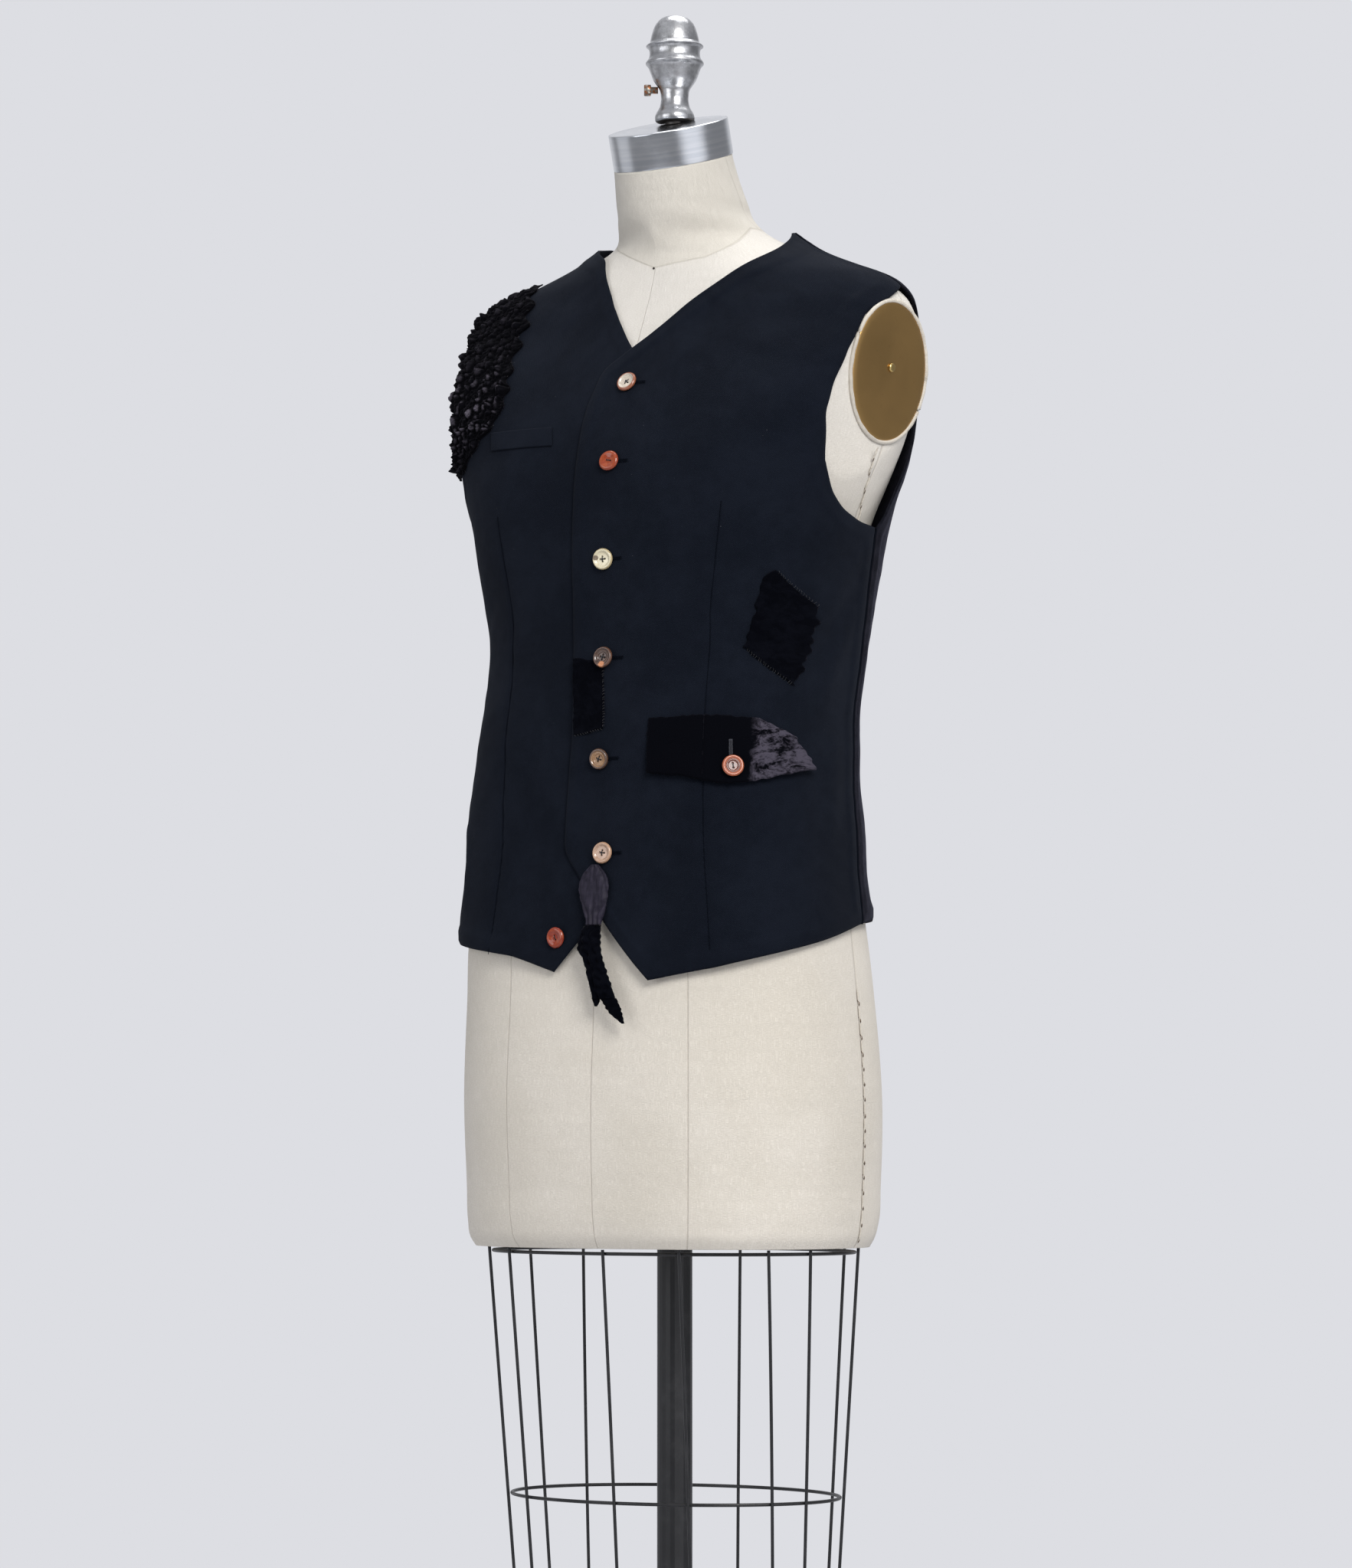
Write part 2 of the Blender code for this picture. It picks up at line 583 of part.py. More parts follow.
diamond = DIAMOND_CORNERS
lie_on_front("diamond_patch", (diamond[0], diamond[1]), (diamond[3], diamond[2]), PATCH_LIFT,
             PATCH_THICKNESS, BLACK_VELVET, columns=7, rows=7)
placket = PLACKET_PATCH_CORNERS
lie_on_front("placket_patch", (placket[0], placket[1]), (placket[3], placket[2]), PATCH_LIFT,
             PATCH_THICKNESS, BLACK_VELVET, columns=5, rows=7)
lie_on_front("pocket_flap", FLAP_TOP, FLAP_BOTTOM, PATCH_LIFT, FLAP_THICKNESS, BLACK_VELVET,
             columns=14, rows=6, belly=FLAP_BELLY)
welt = WELT_CORNERS
lie_on_front("chest_welt", (welt[0], welt[1]), (welt[3], welt[2]), PATCH_LIFT, WALL * 0.6, WOOL,
             columns=9, rows=4, side=-1)


def make_ruffle():
    """The shirred velvet on the right armhole: waves in the outer face over a plain inside."""
    table = np.array(RUFFLE_EDGES)
    columns = 2 * RUFFLE_ROWS + 2
    rows = 2 * RUFFLE_WAVES + 1
    along = np.linspace(0, len(table) - 1, rows)
    edges = np.stack([np.interp(along, np.arange(len(table)), table[:, k]) for k in range(4)], -1)
    across = np.linspace(0, 1, columns)[None, :]
    angle = edges[:, 0:1] * (1 - across) + edges[:, 2:3] * across
    height = edges[:, 1:2] * (1 - across) + edges[:, 3:4] * across
    i, j = np.meshgrid(np.arange(rows), np.arange(columns), indexing="ij")
    crest = (i + (j // 2)) % 2
    rim = (i == 0) | (i == rows - 1)
    swell = 0.55 + 0.45 * np.sin(1.7 * i + 2.3 * (j // 2)) ** 2
    top = RUFFLE_BACKING + RUFFLE_HEIGHT * np.where(rim, 0.25, 0.25 + 0.75 * crest * swell)
    scallop = np.where(j == 0, 1.3 * crest, 0.0) * np.where(rim, 0, 1)
    angle = -(angle + scallop)
    outer = vest_point(angle, height, RUFFLE_LIFT + top)
    inner = vest_point(angle, height, RUFFLE_LIFT)
    return grid_wall("ruffle", outer, inner, BLACK_VELVET)


make_ruffle()


def button_profile(radius, thickness):
    """A sewing button in section: a raised rim round a dished middle."""
    return (
        (0.40 * radius, 0.62 * thickness),
        (0.66 * radius, 0.66 * thickness),
        (0.78 * radius, 0.97 * thickness),
        (0.90 * radius, thickness),
        (radius, 0.66 * thickness),
        (0.93 * radius, 0.22 * thickness),
        (0.70 * radius, 0.0),
    )


def make_button(name, side, x, height, colour, lift, hole_count=4):
    """A button sewn to a front, its holes cut through."""
    angle = angle_at(x, height)
    base = vest_point(angle, height, 0.0)
    out = vest_point(angle, height, 0.01) - base
    normal = Vector(out / np.linalg.norm(out))
    start = Vector(base) + normal * (float(lap_lift(x, side)) + lift)
    profile = button_profile(BUTTON_RADIUS, BUTTON_THICKNESS)
    thing = turned(name, profile, 14, material(name, colour, 0.25))
    side_way = Vector((0, 0, 1)).cross(normal).normalized()
    up_way = normal.cross(side_way)
    frame = Matrix((side_way, up_way, normal)).transposed().to_4x4()
    thing.matrix_world = Matrix.Translation(start) @ frame
    mesh = bpy.data.meshes.new(name + "_holes")
    work = bmesh.new()
    for number in range(hole_count):
        turn = 2 * math.pi * (number + 0.5) / hole_count
        spot = Matrix.Translation((0.0020 * math.cos(turn), 0.0020 * math.sin(turn), 0.001))
        bmesh.ops.create_cone(work, cap_ends=True, segments=6, radius1=0.0008, radius2=0.0008,
                              depth=0.02, matrix=spot)
    work.to_mesh(mesh)
    work.free()
    cutter = bpy.data.objects.new(name + "_holes", mesh)
    CUTTERS.objects.link(cutter)
    cutter.matrix_world = thing.matrix_world
    cut_with(thing, cutter)
    return thing


for name, side, x, height, under, colour in BUTTONS:
    make_button(name, side, x, height, colour, BUTTON_LIFT + under)
flap_lift = PATCH_LIFT + FLAP_BELLY + FLAP_THICKNESS + BUTTON_LIFT
make_button("button_flap", 1, *FLAP_BUTTON_PLACE, FLAP_BUTTON_COLOUR, flap_lift, hole_count=2)


# The hanging tie: height, middle_x, half_width, stand_off from the vest and thickness.
TIE_SATIN = (
    (0.9372, 0.0017, 0.0030, 0.0008, 0.0020),
    (0.9315, 0.0015, 0.0085, 0.0008, 0.0024),
    (0.9240, 0.0018, 0.0124, 0.0009, 0.0028),
    (0.9140, 0.0028, 0.0118, 0.0010, 0.0030),
    (0.9040, 0.0042, 0.0094, 0.0012, 0.0032),
    (0.8960, 0.0046, 0.0068, 0.0014, 0.0036),
    (0.8925, 0.0046, 0.0062, 0.0016, 0.0040),
)
TIE_VELVET = (
    (0.8922, 0.0046, 0.0064, 0.0010, 0.0070),
    (0.8860, 0.0036, 0.0076, 0.0010, 0.0090),
    (0.8797, 0.0030, 0.0086, 0.0010, 0.0095),
    (0.8744, 0.0026, 0.0092, 0.0012, 0.0085),
    (0.8680, 0.0052, 0.0082, 0.0014, 0.0060),
    (0.8588, 0.0090, 0.0084, 0.0016, 0.0050),
    (0.8500, 0.0120, 0.0088, 0.0018, 0.0045),
    (0.8380, 0.0158, 0.0096, 0.0020, 0.0040),
)
TAIL_STAND_OFF = 0.0022
TAIL_THICKNESS = 0.0032
TAIL_TIPS = {
    "left": ((0.8376, 0.0095, 0.0028), (0.8325, 0.0090, 0.0012)),
    "right": ((0.8376, 0.0196, 0.0058), (0.8285, 0.0248, 0.0052), (0.8200, 0.0310, 0.0012)),
}


def strip_section(height, middle, half, stand_off, thickness, points=12):
    """One flattened oval of a hanging strip."""
    sweep = np.linspace(0, 2 * np.pi, points, endpoint=False)
    front_y = float(vest_point(0.0, max(height, 0.85))[1])
    x = middle + half * np.cos(sweep)
    y = front_y - LAP_LIFT - stand_off - thickness / 2 + thickness / 2 * np.sin(sweep)
    return np.stack([x, y, np.full(points, height)], -1)


def loft(name, sections, finish):
    """A closed solid through a stack of sections with equal numbers of points."""
    count = len(sections[0])
    points = np.concatenate(sections)
    faces = []
    for level in range(len(sections) - 1):
        for k in range(count):
            a, b = level * count + k, level * count + (k + 1) % count
            faces.append((a, b, b + count, a + count))
    faces.append(tuple(range(count)))
    faces.append(tuple(range(len(points) - 1, len(points) - 1 - count, -1)))
    thing = mesh_object(name, points, faces, finish)
    face_outwards(thing.data)
    return thing


loft("tie_satin", [strip_section(*row) for row in TIE_SATIN], PURPLE_SATIN)
loft("tie_velvet", [strip_section(*row) for row in TIE_VELVET], BLACK_VELVET)
for side_name, tips in TAIL_TIPS.items():
    sections = [strip_section(z, x, half, TAIL_STAND_OFF, TAIL_THICKNESS, 8) for z, x, half in tips]
    loft("tie_tail_" + side_name, sections, BLACK_VELVET)


# The dress form. Its neck and its shoulders are cut flat for the cap and the plates.
NECK_PLANE_POINT = (0.0, -0.0017, 1.4809)
NECK_TILT = math.radians(18.5)
NECK_NORMAL = (0.0, -math.sin(NECK_TILT), math.cos(NECK_TILT))
CAP_RADIUS = 0.0462
CAP_HEIGHT = 0.0278
CAP_ROUND = 0.0015
PLATE_CENTRE = (0.1745, 0.0170, 1.3085)
PLATE_TURN = math.radians(13.0)
PLATE_LEAN = math.radians(7.5)
PLATE_HALF_WIDTH = 0.0415
PLATE_HALF_HEIGHT = 0.0520
PLATE_THICKNESS = 0.0030
TORSO_SIDES = 36
TORSO_HEIGHTS = (
    0.6550, 0.6575, 0.6620, 0.6700, 0.6880, 0.7250, 0.7700, 0.8200, 0.8700, 0.9200, 0.9700, 1.0200,
    1.0700, 1.1200, 1.1700, 1.2050, 1.2300, 1.2500, 1.2700, 1.2950, 1.3200, 1.3420, 1.3560,
    1.3660, 1.3740, 1.3820, 1.3900, 1.3980, 1.4060, 1.4150, 1.4250, 1.4360, 1.4500, 1.4750, 1.5150,
)


def plate_frame(side):
    """The axes of an arm plate: its normal points out, turned forwards and leaning down."""
    normal = Vector((side * math.cos(PLATE_TURN), -math.sin(PLATE_TURN), -math.tan(PLATE_LEAN)))
    normal.normalize()
    across = Vector((0, 0, 1)).cross(normal).normalized()
    up_way = normal.cross(across)
    centre = Vector((side * PLATE_CENTRE[0], PLATE_CENTRE[1], PLATE_CENTRE[2]))
    return Matrix.Translation(centre) @ Matrix((across, up_way, normal)).transposed().to_4x4()


def make_torso():
    """The linen-covered form: rings lofted, then cut at the neck and the shoulders."""
    sweep = np.linspace(0, 360, TORSO_SIDES, endpoint=False)
    sections = [ring_point(FORM_RINGS, sweep, np.full_like(sweep, z)) for z in TORSO_HEIGHTS]
    torso = loft("torso", sections, LINEN_COVER)
    cut_with(torso, half_space("neck_cut", NECK_PLANE_POINT, NECK_NORMAL))
    for side in (1, -1):
        frame = plate_frame(side)
        seat = frame @ Vector((0, 0, -SEAM_GAP))
        normal = frame.to_3x3() @ Vector((0, 0, 1))
        cut_with(torso, half_space(f"shoulder_cut_{side}", seat, normal))
    return torso


make_torso()

cap = turned(
    "neck_cap",
    (
        (CAP_RADIUS - CAP_ROUND, CAP_HEIGHT),
        (CAP_RADIUS - CAP_ROUND * 0.3, CAP_HEIGHT - CAP_ROUND * 0.3),
        (CAP_RADIUS, CAP_HEIGHT - CAP_ROUND),
        (CAP_RADIUS, 0.0),
    ),
    28,
    POLISHED_STEEL,
)
cap_turn = Vector(NECK_NORMAL).to_track_quat("Z", "Y").to_matrix().to_4x4()
cap.matrix_world = Matrix.Translation(Vector(NECK_PLANE_POINT) + Vector(NECK_NORMAL) * SEAM_GAP) @ cap_turn

# The finial, turned about the pole's axis: radius and height from its top down.
FINIAL_PROFILE = (
    (0.0045, 1.5941), (0.0100, 1.5923), (0.0144, 1.5879), (0.0170, 1.5819), (0.0185, 1.5760),
    (0.0192, 1.5730), (0.0220, 1.5706), (0.0200, 1.5686), (0.0193, 1.5653), (0.0200, 1.5611),
    (0.0223, 1.5573), (0.0202, 1.5543), (0.0185, 1.5498), (0.0164, 1.5445), (0.0138, 1.5406),
    (0.0114, 1.5368), (0.0107, 1.5321), (0.0106, 1.5284), (0.0117, 1.5231), (0.0141, 1.5190),
    (0.0152, 1.5155), (0.0141, 1.5122), (0.0070, 1.5112), (0.0070, 1.5010),
)
SCREW_HEIGHT = 1.5367
SCREW_TURN = math.radians(-150.0)
finial = turned("finial", FINIAL_PROFILE, 16, POLISHED_STEEL)
cap_top = Vector(NECK_PLANE_POINT) + Vector(NECK_NORMAL) * (CAP_HEIGHT + 2 * SEAM_GAP)
cut_with(finial, half_space("cap_cut", cap_top, tuple(-c for c in NECK_NORMAL), size=0.08))

screw_profile = (
    (0.0040, 0.0235), (0.0044, 0.0230), (0.0044, 0.0185), (0.0026, 0.0180), (0.0026, 0.0128),
)
screw = turned("set_screw", screw_profile, 8, OLD_BRASS)
screw_way = Vector((math.cos(SCREW_TURN), math.sin(SCREW_TURN), 0))
screw_turn = screw_way.to_track_quat("Z", "Y").to_matrix().to_4x4()
screw.matrix_world = Matrix.Translation((0, 0, SCREW_HEIGHT)) @ screw_turn

plate_profile = (
    (0.40, 1.00), (0.75, 0.90), (0.93, 0.66), (1.00, 0.30), (1.00, 0.0),
)
for side, side_name in ((1, "left"), (-1, "right")):
    shape = [(r * PLATE_HALF_HEIGHT, t * PLATE_THICKNESS) for r, t in plate_profile]
    plate = turned("arm_plate_" + side_name, shape, 28, OLD_BRASS)
    squash = Matrix.Diagonal((PLATE_HALF_WIDTH / PLATE_HALF_HEIGHT, 1, 1, 1))
    plate.matrix_world = plate_frame(side) @ squash
    pin = turned("plate_pin_" + side_name, ((0.0022, 0.0016), (0.0034, 0.0006), (0.0034, 0.0)), 16, OLD_BRASS)
    pin.matrix_world = plate_frame(side) @ Matrix.Translation((0, 0.003, PLATE_THICKNESS + SEAM_GAP))

# The cage: wires round two ellipses, with hoops inside them.
POLE_RADIUS = 0.0133
FORM_BOTTOM = 0.6550
WIRE_RADIUS = 0.0012
HOOP_RADIUS = 0.0013
CAGE_TOP = (0.6542, 0.1490, -0.0035, 0.1045)
CAGE_FOOT = (0.2800, 0.1180, 0.0040, 0.0960)
HOOP_HEIGHTS = (("cage_hoop_top", 0.6512), ("cage_hoop_middle", 0.4687), ("cage_hoop_foot", 0.2850))
# Each wire leans a little: its angle at the top and at the foot.
WIRE_ANGLES = (
    (0.4, 5.1),
    (24.0, 31.8),
    (52.4, 63.2),
    (68.8, 77.8),
    (114.7, 114.7),
    (133.0, 133.0),
    (180.0, 181.4),
    (231.9, 240.2),
    (254.3, 257.8),
    (295.0, 295.0),
    (320.5, 324.3),
)
HOOP_POINTS = 28
WIRE_KNOTS = 6


def cage_point(angle, height, inwards=0.0):
    """A point of the cage's wires, which stand on a tapering ellipse."""
    share = (height - CAGE_FOOT[0]) / (CAGE_TOP[0] - CAGE_FOOT[0])
    half, centre, reach = (f + (t - f) * share for f, t in zip(CAGE_FOOT[1:], CAGE_TOP[1:]))
    turn = np.radians(angle)
    normal = np.array([np.sin(turn) / half, -np.cos(turn) / reach])
    normal /= np.linalg.norm(normal, axis=0)
    x = half * np.sin(turn) - inwards * normal[0]
    y = centre - reach * np.cos(turn) - inwards * normal[1]
    return np.stack([x, y, height + 0 * x], -1)


for name, height in HOOP_HEIGHTS:
    sweep = np.linspace(0, 360, HOOP_POINTS, endpoint=False)
    inwards = WIRE_RADIUS + HOOP_RADIUS + 0.0004
    round_bar(name, cage_point(sweep, height, inwards), HOOP_RADIUS, PAINTED_IRON, 1, cyclic=True)
for number, (top_angle, foot_angle) in enumerate(WIRE_ANGLES, start=1):
    share = np.linspace(0, 1, WIRE_KNOTS)
    angles = top_angle + (foot_angle - top_angle) * share
    heights = CAGE_TOP[0] + (CAGE_FOOT[0] - CAGE_TOP[0]) * share
    round_bar(f"cage_wire_{number:02d}", cage_point(angles, heights), WIRE_RADIUS, PAINTED_IRON, 1)

# The stand: a pole in a cast hub on four flat-footed legs.
HUB_RADIUS = 0.0380
HUB_TOP = 0.1500
LEG_REACH = 0.2700
LEG_HALF_THICKNESS = 0.0110
turned("pole", ((POLE_RADIUS, FORM_BOTTOM - SEAM_GAP), (POLE_RADIUS, HUB_TOP + SEAM_GAP)), 24, PAINTED_IRON)
turned(
    "base_hub",
    ((0.0200, HUB_TOP), (0.0230, HUB_TOP - 0.004), (0.0240, 0.1250), (0.0300, 0.1120),
     (HUB_RADIUS, 0.1000), (HUB_RADIUS, 0.0450), (0.0300, 0.0400)),
    20,
    PAINTED_IRON,
)
LEG_OUTLINE = (
    (0.0383, 0.0900), (0.0700, 0.0880), (0.1100, 0.0760), (0.1600, 0.0560), (0.2100, 0.0360),
    (0.2500, 0.0240), (0.2660, 0.0180), (0.2700, 0.0100), (0.2700, 0.0000), (0.2350, 0.0000),
    (0.2250, 0.0110), (0.1800, 0.0240), (0.1300, 0.0420), (0.0800, 0.0520), (0.0383, 0.0540),
)
for number in range(4):
    curve = bpy.data.curves.new(f"base_leg_{number + 1}", "CURVE")
    curve.dimensions = "2D"
    curve.fill_mode = "BOTH"
    curve.extrude = LEG_HALF_THICKNESS
    spline = curve.splines.new("POLY")
    spline.points.add(len(LEG_OUTLINE) - 1)
    spline.use_cyclic_u = True
    for knot, (reach, height) in zip(spline.points, LEG_OUTLINE):
        knot.co = (reach, height, 0, 1)
    curve.materials.append(PAINTED_IRON)
    leg = bpy.data.objects.new(f"base_leg_{number + 1}", curve)
    PARTS.objects.link(leg)
    upright = Matrix.Rotation(math.radians(90), 4, "X")
    leg.matrix_world = Matrix.Rotation(math.radians(45 + 90 * number), 4, "Z") @ upright
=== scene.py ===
"""The looks of a navy wool waistcoat worn on a linen dress form, built round its CAD part.

Metres, +Z up, the chest faces -Y and the wearer's left is +X. An angle is in degrees
round a ring, from the front towards the wearer's left.
"""
import math

import bpy
import numpy as np
from mathutils import Matrix, Vector


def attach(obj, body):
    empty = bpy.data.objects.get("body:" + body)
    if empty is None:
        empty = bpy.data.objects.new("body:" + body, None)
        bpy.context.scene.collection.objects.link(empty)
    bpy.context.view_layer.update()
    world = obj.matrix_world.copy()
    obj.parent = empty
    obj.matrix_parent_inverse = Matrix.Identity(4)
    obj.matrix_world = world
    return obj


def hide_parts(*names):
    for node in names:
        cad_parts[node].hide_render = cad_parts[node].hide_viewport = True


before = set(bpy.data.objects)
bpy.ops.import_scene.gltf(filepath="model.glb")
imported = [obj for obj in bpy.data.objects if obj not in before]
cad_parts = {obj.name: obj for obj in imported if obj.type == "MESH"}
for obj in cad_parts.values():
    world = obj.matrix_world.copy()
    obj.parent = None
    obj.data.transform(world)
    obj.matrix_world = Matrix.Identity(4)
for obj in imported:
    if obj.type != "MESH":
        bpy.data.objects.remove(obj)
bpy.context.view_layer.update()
RANDOM = np.random.default_rng(7)

# ---- Body surfaces
# The waistcoat and the form are rings that are stacked up the body. The columns are height,
# half_width, centre_y, front_reach, back_reach, front_power and back_power.
WALL = 0.0020
VELVET = 0.0018
LAP_LIFT = 0.0026
# A distance round the body is its angle times this radius.
BODY_RADIUS = 0.15
VEST_RINGS = (
    (0.8450, 0.1580, 0.0000, 0.1240, 0.1200, 3.00, 2.00),
    (0.8970, 0.1585, 0.0000, 0.1210, 0.1190, 3.10, 2.00),
    (0.9350, 0.1550, 0.0000, 0.1160, 0.1110, 3.10, 2.00),
    (0.9800, 0.1520, 0.0010, 0.1170, 0.1070, 3.05, 2.00),
    (1.0260, 0.1485, 0.0050, 0.1210, 0.0950, 2.85, 2.00),
    (1.0620, 0.1475, 0.0110, 0.1250, 0.0900, 2.60, 2.00),
    (1.1020, 0.1490, 0.0190, 0.1300, 0.0920, 2.45, 2.00),
    (1.1420, 0.1530, 0.0200, 0.1310, 0.0990, 2.50, 2.10),
    (1.1670, 0.1565, 0.0200, 0.1310, 0.1030, 2.60, 2.25),
    (1.2020, 0.1620, 0.0200, 0.1290, 0.1080, 2.70, 2.30),
    (1.2390, 0.1740, 0.0210, 0.1250, 0.1140, 2.70, 2.25),
    (1.2620, 0.1800, 0.0260, 0.1230, 0.1140, 2.90, 2.15),
    (1.3200, 0.1890, 0.0350, 0.1040, 0.1100, 3.10, 2.00),
    (1.3470, 0.1880, 0.0340, 0.0880, 0.1070, 2.75, 2.00),
    (1.3640, 0.1845, 0.0330, 0.0790, 0.1020, 2.50, 1.95),
    (1.3760, 0.1775, 0.0330, 0.0730, 0.0950, 2.30, 1.90),
    (1.3860, 0.1630, 0.0340, 0.0700, 0.0870, 2.15, 1.90),
    (1.3960, 0.1380, 0.0360, 0.0690, 0.0770, 1.97, 1.90),
    (1.4080, 0.1090, 0.0395, 0.0690, 0.0640, 1.85, 1.90),
    (1.4270, 0.0800, 0.0440, 0.0710, 0.0460, 1.75, 1.90),
    (1.4420, 0.0620, 0.0440, 0.0710, 0.0360, 1.90, 1.90),
)
FORM_RINGS = (
    (0.6550, 0.1545, 0.0000, 0.1130, 0.1000, 2.40, 2.20),
    (0.6610, 0.1580, 0.0000, 0.1170, 0.1030, 2.40, 2.20),
    (0.6740, 0.1605, 0.0000, 0.1205, 0.1050, 2.35, 2.30),
    (0.7000, 0.1620, 0.0000, 0.1225, 0.1060, 2.30, 2.30),
    (0.7600, 0.1634, 0.0000, 0.1240, 0.1070, 2.35, 2.30),
    (0.8400, 0.1580, 0.0000, 0.1190, 0.1070, 2.60, 2.20),
    (0.8950, 0.1520, 0.0000, 0.1150, 0.1060, 2.90, 2.10),
    (0.9500, 0.1430, 0.0020, 0.1080, 0.0980, 2.60, 2.00),
    (1.0000, 0.1290, 0.0050, 0.0990, 0.0870, 2.30, 2.00),
    (1.0500, 0.1220, 0.0080, 0.0940, 0.0800, 2.20, 2.00),
    (1.1000, 0.1260, 0.0120, 0.1000, 0.0850, 2.20, 2.00),
    (1.1500, 0.1360, 0.0160, 0.1130, 0.0940, 2.30, 2.10),
    (1.2020, 0.1480, 0.0190, 0.1210, 0.1010, 2.50, 2.20),
    (1.2390, 0.1640, 0.0210, 0.1190, 0.1080, 2.60, 2.20),
    (1.2620, 0.1735, 0.0260, 0.1170, 0.1080, 2.80, 2.10),
    (1.3200, 0.1845, 0.0350, 0.0985, 0.1045, 3.05, 2.00),
    (1.3450, 0.1835, 0.0340, 0.0850, 0.1030, 2.72, 2.00),
    (1.3588, 0.1820, 0.0332, 0.0775, 0.0985, 2.50, 1.95),
    (1.3706, 0.1755, 0.0330, 0.0715, 0.0915, 2.35, 1.90),
    (1.3815, 0.1605, 0.0337, 0.0680, 0.0815, 2.18, 1.90),
    (1.3926, 0.1350, 0.0355, 0.0660, 0.0700, 1.90, 1.90),
    (1.4065, 0.1030, 0.0375, 0.0645, 0.0560, 1.60, 1.90),
    (1.4208, 0.0690, 0.0310, 0.0640, 0.0480, 1.40, 1.95),
    (1.4360, 0.0530, 0.0210, 0.0600, 0.0470, 1.90, 2.00),
    (1.4500, 0.0500, 0.0140, 0.0565, 0.0460, 2.00, 2.00),
    (1.4810, 0.0458, -0.0017, 0.0475, 0.0475, 2.00, 2.00),
    (1.5250, 0.0455, -0.0160, 0.0475, 0.0475, 2.00, 2.00),
)
# The folds: side (1 is the wearer's left), the angle and height at each end, depth (a ridge
# is positive) and half_width.
FOLDS = (
    (1, 86.0, 1.160, 64.0, 1.062, -0.0018, 0.011),
    (1, 88.0, 1.140, 70.0, 1.040, 0.0014, 0.009),
    (1, 82.0, 1.040, 78.0, 0.945, 0.0016, 0.011),
    (1, 88.0, 1.180, 74.0, 1.120, 0.0012, 0.010),
    (1, 10.0, 0.965, 38.0, 0.905, 0.0015, 0.010),
    (1, 14.0, 0.940, 32.0, 0.895, -0.0009, 0.007),
    (1, 26.0, 1.255, 52.0, 1.222, 0.0016, 0.015),
    (1, 8.0, 1.168, 26.0, 1.130, 0.0009, 0.008),
    (1, 7.0, 1.094, 24.0, 1.112, 0.0009, 0.008),
    (1, -4.0, 1.012, 3.0, 1.009, -0.0008, 0.004),
    (1, 6.0, 1.295, 16.0, 1.275, 0.0008, 0.007),
    (1, 34.0, 1.330, 56.0, 1.300, -0.0009, 0.012),
    (1, 40.0, 0.985, 62.0, 0.930, -0.0010, 0.013),
    (-1, 60.0, 0.975, 54.0, 0.905, 0.0020, 0.009),
    (-1, 68.0, 0.985, 62.0, 0.915, -0.0014, 0.009),
    (-1, 80.0, 1.170, 60.0, 1.090, -0.0016, 0.013),
    (-1, 24.0, 1.255, 50.0, 1.222, 0.0016, 0.015),
    (-1, 34.0, 1.075, 56.0, 1.040, 0.0012, 0.010),
    (-1, 40.0, 1.150, 62.0, 1.115, -0.0010, 0.010),
    (1, 112.0, 1.200, 128.0, 1.060, -0.0020, 0.016),
    (-1, 112.0, 1.190, 126.0, 1.050, -0.0020, 0.016),
    (1, 150.0, 1.080, 176.0, 1.030, 0.0018, 0.014),
    (-1, 140.0, 1.060, 172.0, 1.045, 0.0014, 0.012),
    (1, 138.0, 1.020, 160.0, 0.930, 0.0014, 0.018),
    (-1, 136.0, 1.010, 158.0, 0.920, 0.0014, 0.018),
)
BUST_ANGLE = 42.0
BUST_HEIGHT = 1.212
BUST_RISE = 0.0035
BUST_SPREAD = 0.045
# A bust dart runs down each front: angle and height of its points.
DART = ((39.1, 1.2043), (36.4, 1.1217), (38.2, 0.9900), (40.0, 0.8700))
DART_DEPTH = 0.0011
DART_WIDTH = 0.0016
DART_TOP = 1.2043
DART_FOOT = 0.86
# Above this height the cloth lies close, and below it the cloth hangs looser.
LOOSE_HEIGHT = 1.16


def read_table(rows, height):
    """Each column at a height, on cubic Hermite curves with slopes from neighbouring rows."""
    table = np.array(rows)
    knots, values = table[:, 0], table[:, 1:]
    slopes = np.gradient(values, knots, axis=0)
    flat = np.clip(np.ravel(height), knots[0], knots[-1])
    low = np.clip(np.searchsorted(knots, flat, side="right") - 1, 0, len(knots) - 2)
    span = knots[low + 1] - knots[low]
    s = ((flat - knots[low]) / span)[:, None]
    span = span[:, None]
    start = (1 + 2 * s) * (1 - s) ** 2 * values[low] + s * (1 - s) ** 2 * span * slopes[low]
    end = s * s * (3 - 2 * s) * values[low + 1] - s * s * (1 - s) * span * slopes[low + 1]
    return (start + end).reshape(np.shape(height) + (values.shape[1],))


def ring_point(rows, angle, height):
    """Superellipse |x / half|^p + |y / reach|^p = 1 in polar form, at an angle and height."""
    turn = np.radians(angle)
    half, centre, front, back, front_power, back_power = np.moveaxis(read_table(rows, height), -1, 0)
    forward = np.cos(turn) >= 0
    reach = np.where(forward, front, back)
    power = np.where(forward, front_power, back_power)
    across = np.abs(np.sin(turn)) / half
    along = np.abs(np.cos(turn)) / reach
    radius = (across**power + along**power) ** (-1 / power)
    return np.stack([radius * np.sin(turn), centre - radius * np.cos(turn), height + 0 * radius], -1)


def smooth_step(value):
    """3s^2 - 2s^3, with s held between 0 and 1."""
    s = np.clip(value, 0, 1)
    return s * s * (3 - 2 * s)


